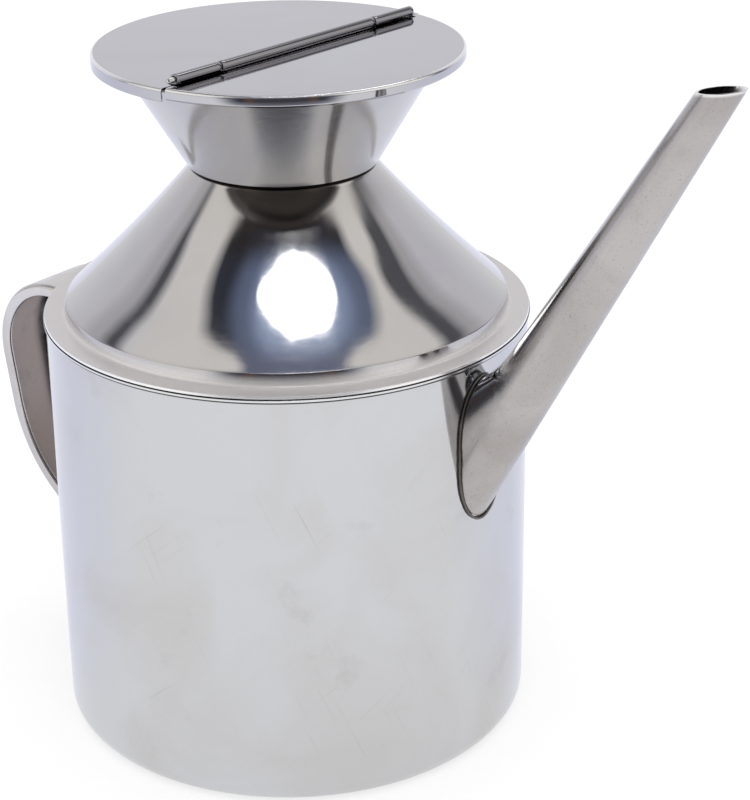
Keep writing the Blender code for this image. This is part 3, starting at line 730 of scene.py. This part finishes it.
def add_node(tree, kind, inputs=(), output=None, **settings):
    """Add a node and give back one of its outputs, by default the first that is in use.

    Inputs are values or other nodes' outputs. A list fills the sockets in order, and a
    dictionary goes by socket.
    """
    node = tree.nodes.new("ShaderNode" + kind)
    for name, value in settings.items():
        setattr(node, name, value)
    for socket, value in dict(inputs if isinstance(inputs, dict) else enumerate(inputs)).items():
        if isinstance(value, bpy.types.NodeSocket):
            tree.links.new(value, node.inputs[socket])
        else:
            node.inputs[socket].default_value = value
    return node.outputs[output] if output else next((o for o in node.outputs if o.enabled), None)


# %% Worked stainless steel
# Noise scales are waves per metre. Tints of the sheet are 29 mm wide, smears 11 mm, like a
# fingertip, and stains 24 mm. Real pits are 0.2 mm wide and scratches under 0.1 mm. They are
# drawn 0.5 and 0.6 mm wide, to be seen. A scratch is 40 times as long as it is wide.
TINT_SCALE, SMEAR_SCALE, STAIN_SCALE, PIT_SCALE, SCRATCH_SCALE = 34.0, 90.0, 42.0, 2000.0, 1600.0
SCRATCH_ANGLES, SCRATCH_STRETCH = (0.35, -0.8), 40
TURNED_RING = 0.012  # every ring is laid on this radius in metres, so the lines run round


def stainless(name, light, dark, roughness, grain, grain_depth, smudge=0.1, follow="turned",
              blur=0.05, worn_and_painted=(), pits=0.0, marks=0.0, scratches=0.0):
    """Worked steel: grain lines along the work, tint patches, smudges, pits, marks, scratches.

    A worn or painted place is (what, start, full, colour, metal, roughness): real wear, or
    painted light and shade. It goes by the point's height, by how far the face looks up, or by
    a mark's name, from nothing at `start` to all at `full`. Real grit leaves lines about
    0.05 mm apart. A grain of 900 draws them 1.1 mm apart, with finer ones between them down to 0.07 mm.
    """
    material = bpy.data.materials.new(name)
    tree = empty_tree(material)
    spot = add_node(tree, "TexCoord", output="Object")
    place = spot.node.outputs
    if follow == "turned":
        flat = add_node(tree, "VectorMath", [spot, (1, 1, 0)], operation="MULTIPLY")
        ring = add_node(tree, "VectorMath", [flat], operation="NORMALIZE")
        ring = add_node(tree, "VectorMath", {0: ring, "Scale": TURNED_RING}, operation="SCALE")
        tall = add_node(tree, "VectorMath", [spot, (0, 0, 1)], operation="MULTIPLY")
        lines = add_node(tree, "VectorMath", [ring, tall], operation="ADD")
    else:
        stretch = (1.0, 0.05, 1.0) if follow == "along" else (0.06, 1.0, 1.0)
        source = place["UV"] if follow in ("along", "across") else spot
        lines = add_node(tree, "Mapping", {"Vector": source, "Scale": stretch})
    fine = add_node(tree, "TexNoise", {"Vector": lines, "Scale": grain, "Detail": 4.0})
    streak = add_node(tree, "MapRange", [fine, 0.35, 0.65])
    tint, smear = (
        add_node(tree, "MapRange", [add_node(tree, "TexNoise", {
            "Vector": spot, "Scale": scale, "Detail": detail, "Distortion": swirl}), low, high, 0, most])
        for scale, detail, swirl, low, high, most in (
            (TINT_SCALE, 5.0, 0.6, 0.4, 0.7, 1), (SMEAR_SCALE, 6.0, 1.5, 0.5, 0.75, smudge)))
    colour = add_node(tree, "Mix", {0: tint, 6: linear(light), 7: linear(dark)}, data_type="RGBA")
    rough = add_node(tree, "Math", [streak, blur, smear], operation="MULTIPLY_ADD")
    rough = add_node(tree, "Math", [rough, roughness], operation="ADD")
    metal = 1.0
    for what, start, full, code, metal_there, rough_there in worn_and_painted:
        if what in ("height", "facing"):
            source = spot if what == "height" else place["Normal"]
            measured = add_node(tree, "SeparateXYZ", [source], "Z")
        else:
            measured = add_node(tree, "Attribute", output="Fac", attribute_name=what)
        amount = add_node(tree, "MapRange", [measured, start, full])
        colour = add_node(tree, "Mix", {0: amount, 6: colour, 7: linear(code)}, data_type="RGBA")
        rough = add_node(tree, "Mix", {0: amount, 2: rough, 3: rough_there})
        metal = add_node(tree, "Mix", {0: amount, 2: metal, 3: metal_there})
    for most, scale, low, high, code in ((pits, PIT_SCALE, 0.58, 0.68, "#5A5654"),
                                         (marks, STAIN_SCALE, 0.6, 0.74, "#8E8A87")):
        if most:
            cloud = add_node(tree, "TexNoise", {
                "Vector": spot, "Scale": scale, "Detail": 8.0, "Roughness": 0.68})
            cloud = add_node(tree, "MapRange", [cloud, low, high, 0, most])
            colour = add_node(tree, "Mix", {0: cloud, 6: colour, 7: linear(code)}, data_type="RGBA")
    for angle in SCRATCH_ANGLES if scratches else ():
        laid = {"Vector": place["UV"], "Rotation": (0, 0, angle), "Scale": (SCRATCH_STRETCH, 1, 1)}
        line = add_node(tree, "Mapping", laid, vector_type="TEXTURE")
        line = add_node(tree, "TexNoise", {"Vector": line, "Scale": SCRATCH_SCALE, "Detail": 1.0})
        line = add_node(tree, "MapRange", [line, 0.68, 0.8, 0, scratches])
        line = add_node(tree, "Math", [line, tint], operation="MULTIPLY")
        colour = add_node(tree, "Mix", {0: line, 6: colour, 7: linear("#8A857F")}, data_type="RGBA")
    bump = add_node(tree, "Bump", {"Height": fine, "Strength": 1.0, "Distance": grain_depth})
    shader = add_node(tree, "BsdfPrincipled", {"Base Color": colour, "Metallic": metal,
                                               "Roughness": rough, "Normal": bump})
    add_node(tree, "OutputMaterial", [shader])
    return material


# %% Worn places and painted light and shade: what, start, full, colour, metal, roughness
# Near-black painted shade, for the collar under the neck's overhang and the gap under the flange.
PAINTED_SHADE_BLACK = "#141210"
# The collar under the neck's overhang is painted near-black: painted shade.
PAINTED_SEAM_SHADE = ("height", COLLAR_FOOT - 0.35 * MM, COLLAR_FOOT - 0.15 * MM, PAINTED_SHADE_BLACK, 1.0, 0.3)
CONE_TOP = ("height", 124 * MM, 129 * MM, "#CBC9C7", 1.0, 0.1)
CONE_FOOT_ROLL = ("height", STEP_TOP + 0.5 * MM, STEP_TOP - 0.5 * MM, "#BBB9BA", 1.0, 0.13)
STEP_FOOT = ("height", STEP_TOP - 0.3 * MM, FLANGE_TOP + 0.7 * MM, "#ECE9E8", 0.5, 0.35)
SCUFFED_FLANGE = ("height", FLANGE_TOP + 0.45 * MM, FLANGE_TOP + 0.1 * MM, "#DAD6D6", 0.35, 0.32)
FLANGE_EDGE = ("height", FLANGE_TOP - 0.02 * MM, FLANGE_TOP - 0.08 * MM, "#F6F6F7", 0.7, 0.25)
# Painted shade: a dark line just under the cup's turned-out lip.
PAINTED_SHADE_UNDER_LIP = ("height", CUP_HEIGHT - 1.1 * MM, CUP_HEIGHT - 0.9 * MM, "#2A2826", 1.0, 0.4)
CUP_LIP = ("height", CUP_HEIGHT - 0.6 * MM, CUP_HEIGHT - 0.5 * MM, "#DADADC", 1.0, 0.2)
# Painted shade on the lip's top, in the gap under the shoulder's flange.
PAINTED_SHADE_OVER_LIP = ("height", CUP_HEIGHT - 0.12 * MM, CUP_HEIGHT - 0.04 * MM, PAINTED_SHADE_BLACK, 1.0, 0.3)
UNDERSIDE = ("facing", -0.75, -0.9, "#BDB6B0", 0.3, 0.5)
# Painted shade: faces of the neck and the lid's front half that look down are painted dark.
PAINTED_UNDERSIDE_SHADE = ("facing", -0.75, -0.9, "#46403B", 1.0, 0.4)
DULL_INSIDE = ("strap_inside", 0.3, 0.9, "#B4A7A1", 0.8, 0.45)
# Painted shade: a dark line along each hem's fold.
PAINTED_HEM_SHADE = ("painted_hem_shade_line", 0.2, 0.8, "#37322F", 1.0, 0.4)
# Painted shade on the far part of the strap's inner face, next to the cup.
PAINTED_FAR_SIDE_SHADE = ("painted_far_side_shade", 0.0, 1.0, "#2C2828", 0.9, 0.35)
# Painted highlight: the rim is lighter where it looks up and out.
PAINTED_RIM_HIGHLIGHT = ("rim_painted_highlight", 0.2, 0.8, "#F2F2F3", 1.0, 0.2)
# Everything above the lid's plate, the knuckles, is painted darker: a painted dark reflection.
PAINTED_DARK_KNUCKLES = ("height", LID_TOP + 0.1 * MM, LID_TOP + 0.4 * MM, "#98979B", 1.0, 0.1)
WHEELED_TOP = ("facing", 0.15, 0.5, "#C4C2C2", 1.0, 0.09)
CUT_LIP = ("mouth_lip", 0.3, 0.9, "#EDECEA", 1.0, 0.12)

# %% Each piece's finish, and what it gives the eye
LID_FINISH = 0.045, 700, 0.0000002, 0.01, "sheet", 0.01
BEAD_STEEL = stainless("oxidised_weld_metal", "#827E7B", "#44403D", 0.36, 1500, 0.00006, 0.2, "sheet",
                       pits=0.5)  # dark and grainy, because a weld isn't wheeled here
FINISHES = {
    # Satin: a soft, slightly wavy mirror of the room, with fingerprints, fine scratches and painted shade
    # just under and over its lip.
    "drawn_cup": stainless("satin_drawn_steel", "#C9CACD", "#C3C2C3", 0.07, 900, 0.0000015, 0.05,
                           blur=0.03, worn_and_painted=(PAINTED_SHADE_UNDER_LIP, CUP_LIP, PAINTED_SHADE_OVER_LIP), pits=0.06, marks=0.22,
                           scratches=0.3),
    # Wheel-polished on the spinning lathe: the clearest mirror, with a scuffed flange, and painted shade on
    # the collar under the neck.
    "pressed_shoulder": stainless("polished_spun_steel", "#CDCCCB", "#C6C5C7", 0.035, 1400, 0.0000004, 0.01,
                                  blur=0.01, worn_and_painted=(CONE_TOP, PAINTED_SEAM_SHADE, CONE_FOOT_ROLL, STEP_FOOT,
                                                   SCUFFED_FLANGE, FLANGE_EDGE), pits=0.04),
    # Brushed round: the same reflections as the cone's, but with soft edges, and painted shade on the faces
    # that look down.
    "filling_neck": stainless("brushed_neck_steel", "#C6C4C2", "#BBBABF", 0.11, 1400, 0.000001, 0.03,
                              blur=0.03, worn_and_painted=(PAINTED_UNDERSIDE_SHADE,), pits=0.08, marks=0.1),
    # Flat bright sheet: one even tone, with a painted highlight on the rims, painted shade under the front
    # half, and knuckles painted darker.
    "lid_front_half": stainless("lid_sheet_steel", "#BEBEC4", "#BAB9BE", *LID_FINISH,
                                (PAINTED_UNDERSIDE_SHADE, PAINTED_RIM_HIGHLIGHT, PAINTED_DARK_KNUCKLES), 0.03),
    "lid_rear_flap": stainless("lid_flap_steel", "#BCBCC2", "#B8B7BC", *LID_FINISH,
                               (UNDERSIDE, PAINTED_RIM_HIGHLIGHT, PAINTED_DARK_KNUCKLES), 0.03),
    # Drawn wire: a thin light line along the hinge.
    "hinge_wire": stainless("drawn_wire_steel", "#D6D5D6", "#C4C3C4", 0.2, 900, 0.000002, 0.1, "sheet"),
    # Rolled and sanded: matt and speckled, brighter on its wheeled upper side.
    "rolled_spout": stainless("matte_spout_steel", "#B9B5B4", "#A6A19F", 0.22, 900, 0.00001, 0.12, "across",
                              worn_and_painted=(WHEELED_TOP, CUT_LIP), pits=0.45, marks=0.15),
    # Satin strap: lines along its length, dull inside the D, with painted shade on its far part and painted
    # shade lines on the hems.
    "channel_handle": stainless("strap_sheet_steel", "#D6D3D2", "#BCB6B2", 0.24, 900, 0.000006, 0.12, "along",
                                worn_and_painted=(DULL_INSIDE, PAINTED_FAR_SIDE_SHADE, PAINTED_HEM_SHADE), pits=0.3, marks=0.75),
    **dict.fromkeys(("spout_weld_bead", "handle_top_bead", "handle_foot_bead"), BEAD_STEEL),
}
for name, piece in PIECES.items():
    piece.data.materials.clear()
    piece.data.materials.append(FINISHES[name])

# %% [markdown]
# ## Studio, floor and camera
#
# The can stands on a white sweep under soft light. The floor is part diffuse, so that it
# takes the can's shadow, and part glow, so that it reads as paper white in the steel.

# %% The floor
FLOOR_HALF, FLOOR_DROP = 3.0, 0.2 * MM
TO_PHOTO_SIDE = (0.656, -0.755, 0)  # on the floor, from the can to where the photo was taken
side = FLOOR_HALF * np.array([-1, 1])
floor_mesh = bpy.data.meshes.new("studio_floor")
floor_mesh.from_pydata([(x, y, -FLOOR_DROP) for x in side for y in side], [], [(0, 2, 3, 1)])
floor = new_object("studio_floor", floor_mesh)
floor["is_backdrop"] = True
paper = bpy.data.materials.new("white_paper_floor")
tree = empty_tree(paper)
way = add_node(tree, "TexCoord", output="Object")
way = add_node(tree, "VectorMath", [way], operation="NORMALIZE")
way = add_node(tree, "VectorMath", [way, TO_PHOTO_SIDE], operation="DOT_PRODUCT")
cooler = add_node(tree, "MapRange", [way, 0.45, -0.35])  # the paper is bluer behind the can
only_steel = add_node(tree, "LightPath", output="Is Glossy Ray")
cooler = add_node(tree, "Math", [cooler, only_steel], operation="MULTIPLY")
cool = add_node(tree, "Mix", {0: cooler, 6: (1, 1, 1, 1), 7: linear("#E6EAFF")}, data_type="RGBA")
glow = add_node(tree, "Emission", [cool, 0.62])
matt = add_node(tree, "BsdfDiffuse", [(0.5, 0.5, 0.5, 1)])
add_node(tree, "OutputMaterial", [add_node(tree, "AddShader", [matt, glow])])
floor.data.materials.append(paper)

# %% The camera, where the photograph was taken from
YAW, PITCH, ROLL, TURN = 0.0423, 0.4169, -0.0114, math.radians(41)
CAMERA_PLACE = 0.30735, -0.35356, 0.2821
forward = np.array([math.sin(YAW) * math.cos(PITCH), math.cos(YAW) * math.cos(PITCH), -math.sin(PITCH)])
right = np.array([math.cos(YAW), -math.sin(YAW), 0])
up = np.cross(right, forward)
axes = np.stack([math.cos(ROLL) * right + math.sin(ROLL) * up,
                 math.cos(ROLL) * up - math.sin(ROLL) * right, -forward], -1)
lens = bpy.data.cameras.new("photo_camera")
lens.lens, lens.sensor_width = 98.66, 36  # 2192 px of focal length over the frame's 800 px
camera = new_object("photo_camera", lens)
camera.matrix_world = (Matrix.Translation(CAMERA_PLACE)
                       @ Matrix.Rotation(TURN, 4, "Z") @ Matrix(axes.tolist()).to_4x4())
bpy.context.scene.camera = camera

# %% [markdown]
# ## The studio that the steel mirrors
#
# Polished steel has no look of its own, so the room decides it. This room is worked out
# from the photograph's reflections: pale walls, a dark canopy overhead with a bright
# octagonal lamp in it, and a dark stand on either side. The world paints these by
# direction: azimuth from the photo's side and elevation. The cone shows a band of
# elevations about 7 degrees high in front, highest at its foot because it dips. `row` is
# the height on the cone, in mm, that shows a given direction, so each dark shape is drawn
# by its two edges along the rows. Rays from the white streak in the spout's knee leave the
# cone at azimuth 134 to 137 and elevation 52 to 75, so a second lamp stands there, behind
# the can on the right.

# %% Directions, and the row of the cone that shows them
world = bpy.data.worlds.new("pale_studio")
bpy.context.scene.world = world
room = empty_tree(world)
PHOTO_AZIMUTH = math.radians(49)
ROW_MIDDLE, ROW_FIRST, ROW_SPAN = 118, 95, 50


def maths(kind, *inputs):
    """One maths step on numbers or other nodes' outputs."""
    return add_node(room, "Math", inputs, operation=kind)


def all_of(mask, *others):
    """1 only where every mask is 1: their product."""
    for other in others:
        mask = maths("MULTIPLY", mask, other)
    return mask


def ramp(source, low, high):
    """0 at `low`, 1 at `high`, smooth between. `low` may be the greater of the two."""
    return add_node(room, "MapRange", [source, low, high], interpolation_type="SMOOTHSTEP")


def curve_through(source, points):
    """A value that follows straight lines between (input, output) points, all from 0 to 1."""
    value = add_node(room, "FloatCurve", {"Value": source})
    curve = value.node.mapping.curves[0]
    for k, point in enumerate(sorted(points)):
        if k < 2:
            curve.points[k].location = point
        else:
            curve.points.new(*point)
    value.node.mapping.update()
    return value


def degrees_through(points):
    """Elevation, in degrees, that follows (angle aside, elevation) points."""
    return maths("MULTIPLY", curve_through(aside_share, [(a / 180, e / 90) for a, e in points]), 90)


compass = add_node(room, "TexCoord", output="Generated")
compass = add_node(room, "VectorRotate", {"Vector": compass, "Angle": PHOTO_AZIMUTH},
                   rotation_type="Z_AXIS")
sides = add_node(room, "SeparateXYZ", [compass]).node.outputs
azimuth = maths("DEGREES", maths("ARCTAN2", sides[1], sides[0]))
elevation = maths("DEGREES", maths("ARCSINE", sides[2]))
aside = maths("ABSOLUTE", azimuth)
aside_share = maths("DIVIDE", aside, 180)
MIDDLE_ROW = [(0, 67.6), (10, 67.4), (20, 66.9), (30, 65.9), (40, 64.5), (50, 62.5), (60, 60.0),
              (70, 56.8), (80, 52.9), (90, 48.1), (100, 42.6), (110, 36.3), (120, 29.3),
              (130, 21.8), (140, 13.7), (150, 5.1), (180, 0.0)]
FALL_PER_MM = [(0, 0.277), (50, 0.287), (70, 0.279), (80, 0.266), (90, 0.243), (100, 0.212),
               (110, 0.171), (120, 0.125), (130, 0.074), (140, 0.05), (180, 0.05)]
fall = curve_through(aside_share, [(a / 180, f) for a, f in FALL_PER_MM])
below_middle = maths("SUBTRACT", degrees_through(MIDDLE_ROW), elevation)
row = maths("ADD", maths("DIVIDE", below_middle, fall), ROW_MIDDLE)
row_share = maths("DIVIDE", maths("SUBTRACT", row, ROW_FIRST), ROW_SPAN)
row_share.node.use_clamp = True
azimuth_share = maths("DIVIDE", maths("ADD", azimuth, 180), 360)


def between(left, right, soft):
    """1 inside two edges, each given as (row, azimuth) points, fading over `soft` degrees."""
    scaled = [[((r - ROW_FIRST) / ROW_SPAN, (a + 180) / 360) for r, a in edge] for edge in (left, right)]
    first, last = (curve_through(row_share, edge) for edge in scaled)
    inside = [maths("SUBTRACT", azimuth_share, first), maths("SUBTRACT", last, azimuth_share)]
    faded = [maths("MULTIPLY_ADD", step, 180 / soft, 0.5) for step in inside]
    for step in faded:
        step.node.use_clamp = True
    return all_of(*faded)


# %% The canopy, the lamp in it and the two stands
CANOPY = between(
    [(95, -44), (105, -48.9), (106.6, -62.4), (108.4, -72.4), (111.4, -75), (114.9, -77.5),
     (120.6, -76.4), (125.5, -70.9), (130, -62.3), (134, -60), (145, -60)],
    [(95, 52), (105.6, 60), (107, 72.4), (109.5, 78.3), (113.1, 80.5), (117.3, 80.9),
     (122.3, 73.7), (127.2, 70), (131.3, 56.5), (134, 56), (145, 56)], 5)
LAMP = between(
    [(95, 12), (107.6, 9), (108.6, 2), (112.4, -22.2), (116.1, -33.4), (120.4, -14.9),
     (121.8, -5.6), (123.2, 18), (145, 20)],
    [(95, -4), (107.6, -3), (109.2, 18.4), (110, 40.1), (111.6, 46.2), (117, 51.3),
     (120.5, 41.3), (121.5, 34), (123.2, 6), (145, 4)], 3)
RIGHT_EDGE = [(95, 120), (106.4, 114.5), (110.6, 109.8), (115.6, 107.4), (119.7, 108.1),
              (124.2, 108.5), (128.3, 108.7), (131.6, 116.2), (145, 120)]
STAND_RIGHT = between(
    [(95, 108), (106.7, 102.6), (109.2, 98.3), (113.7, 92.4), (117.7, 90.9), (121.6, 94.3),
     (126, 94.2), (130.2, 99.6), (145, 104)], RIGHT_EDGE, 3)
LEFT_EDGE = [(95, -122), (106.2, -118.4), (108.6, -115.8), (112.5, -113.8), (118.6, -113),
             (124, -112.1), (128.4, -110.3), (145, -109)]
STAND_LEFT = between(
    LEFT_EDGE,
    [(95, -113), (106.5, -110.3), (109.1, -107.4), (113, -105.5), (119.3, -104.4),
     (126, -106.2), (129.5, -105.4), (145, -104)], 3)
HALF_SHADES = maths("MAXIMUM", between(RIGHT_EDGE, [(r, a + 8) for r, a in RIGHT_EDGE], 5),
                        between([(r, a - 8) for r, a in LEFT_EDGE], LEFT_EDGE, 7))


def painted(base, mask, paint):
    """Lay a colour over what is there, as far as the mask says."""
    base, paint = (linear(c) if isinstance(c, str) else c for c in (base, paint))
    return add_node(room, "Mix", {0: mask, 6: base, 7: paint}, data_type="RGBA")


# %% Put the room together
above = ramp(elevation, -6, 0)
walls = "#FFFFFF"
for low, high, code in ((118, 100, "#EFECE9"), (100, 118, "#DCDBE2"),
                        (130, 165, "#EEEEF1"), (44, 30, "#67666C")):
    walls = painted(walls, all_of(above, ramp(aside, low, high)), code)
CEILING_EDGE = [(0, 74), (40, 71), (60, 67), (80, 59), (90, 54), (100, 49), (110, 42), (125, 38), (180, 40)]
over_edge = maths("SUBTRACT", elevation, degrees_through(CEILING_EDGE))
ceiling = painted(walls, ramp(over_edge, 0, 4), "#56555A")
ceiling = painted(ceiling, all_of(ramp(aside, 118, 150), ramp(elevation, 30, 50)), "#D2D2D6")
glow_spread = maths("ADD", *(
    maths("POWER", maths("DIVIDE", maths("SUBTRACT", source, centre), reach), 2.0)
    for source, centre, reach in ((azimuth, 12, 52), (row, 114, 11))))
canopy_tone = "#A6B6D6"
for source, low, high, code in (
        (glow_spread, 0.5, 1.35, "#707B96"), (glow_spread, 1.3, 2.3, "#3A3D48"),
        (row, 109, 103, "#76798F"), (row, 119, 126, "#342F2E")):
    canopy_tone = painted(canopy_tone, ramp(source, low, high), code)
seen = painted(ceiling, all_of(CANOPY, ramp(row, 150, 136)), canopy_tone)
seen = painted(seen, LAMP, linear("#FFFFFF", 6.0))
rear_lamp = all_of(ramp(azimuth, 126, 131), ramp(azimuth, 147, 141),
                   ramp(elevation, 45, 51), ramp(elevation, 82, 77))
seen = painted(seen, rear_lamp, linear("#FFFFFF", 4.0))
seen = painted(seen, all_of(HALF_SHADES, above), "#B6B4B6")
seen = painted(seen, all_of(maths("MAXIMUM", STAND_LEFT, STAND_RIGHT), above), "#5E5E63")

# %% Steel sees the room, the lens sees white, and the rest gets even light
glossy = add_node(room, "Background", [seen, 1.0])
plain = add_node(room, "Background", [(1, 1, 1, 1), 0.8])
white = add_node(room, "Background", [(1, 1, 1, 1), 1.0])
path = add_node(room, "LightPath").node.outputs
steel_sees = maths("MAXIMUM", path["Is Glossy Ray"], path["Is Transmission Ray"])
mixed = add_node(room, "MixShader", [steel_sees, plain, glossy])
add_node(room, "OutputWorld", [add_node(room, "MixShader", [path["Is Camera Ray"], mixed, white])])

# %% [markdown]
# The funnel, by way of the cone, and the lid's skirt both show a soft grey shape in front,
# from the floor upwards. The world can't be seen below the horizon, because the floor is
# in the way, so a grey screen takes its place there. Only the steel sees it. Its sides and
# its foot fade out. Above 60 mm it is darker, with a warm strip on either side: the lid's
# skirt looks at that part, and the funnel at the part below.

# %% A grey screen in front of the can
SCREEN_HALF, SCREEN_TALL, SCREEN_AWAY = 0.34, 0.35, 0.36
screen_mesh = bpy.data.meshes.new("grey_screen")
screen_mesh.from_pydata([(-SCREEN_HALF, 0, 0), (SCREEN_HALF, 0, 0), (SCREEN_HALF, 0, SCREEN_TALL),
                         (-SCREEN_HALF, 0, SCREEN_TALL)], [], [(0, 1, 2, 3)])
screen = new_object("grey_screen", screen_mesh)
screen.matrix_world = Matrix.Rotation(TURN, 4, "Z") @ Matrix.Translation((0, -SCREEN_AWAY, 0))
screen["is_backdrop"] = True
screen.visible_camera = screen.visible_diffuse = screen.visible_shadow = False
cloth = bpy.data.materials.new("grey_screen_cloth")
tree = empty_tree(cloth)
spot = add_node(tree, "TexCoord", output="Object")
spot = add_node(tree, "SeparateXYZ", [spot]).node.outputs
away = add_node(tree, "Math", [spot[0]], operation="ABSOLUTE")
sides_fade, foot_fade, rise = (
    add_node(tree, "MapRange", [source, low, high], interpolation_type="SMOOTHSTEP")
    for source, low, high in ((away, 0.31, 0.16), (spot[2], 0.008, 0.055), (spot[2], 0.04, 0.08)))
cover = add_node(tree, "Math", [sides_fade, foot_fade], operation="MULTIPLY")
UPPER_TONES = ((0.0, "#504F54"), (0.088, "#504F54"), (0.118, "#735B4E"), (0.15, "#45464F"),
               (0.21, "#6C707C"), (0.3, "#A9ACB4"))
upper = add_node(tree, "ValToRGB", [away])
tones = upper.node.color_ramp.elements
for place, code in UPPER_TONES:
    tones.new(place).color = linear(code)
tones.remove(tones[0])
tones[-1].color = linear("#6D6D72")
tone = add_node(tree, "Mix", {0: rise, 6: linear("#8B8E97"), 7: upper}, data_type="RGBA")
shine = add_node(tree, "Emission", [tone])
clear = add_node(tree, "BsdfTransparent")
add_node(tree, "OutputMaterial", [add_node(tree, "MixShader", [cover, clear, shine])])
screen.data.materials.append(cloth)

# %% One soft lamp, for the shadow on the floor
SOFTBOX_PLACE, SOFTBOX_WAY = (0.5, -0.5, 1.3), (0.5, -0.5, 1.2)
softbox = bpy.data.lights.new("softbox", "AREA")
softbox.energy, softbox.size = 3.0, 0.9
softbox_object = new_object("softbox", softbox)
softbox_object.visible_glossy = False
softbox_object.location = SOFTBOX_PLACE
softbox_object.rotation_euler = Vector(SOFTBOX_WAY).to_track_quat("Z", "Y").to_euler()

bpy.context.scene.view_settings.view_transform = "Standard"

# %% Work out the sizes and print the visual box
low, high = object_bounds()
{"cad": [list(cad_low), list(cad_high)], "visual": [list(low), list(high)]}
print("visual box, mm:", [round(v / MM, 2) for v in (*low, *high)])
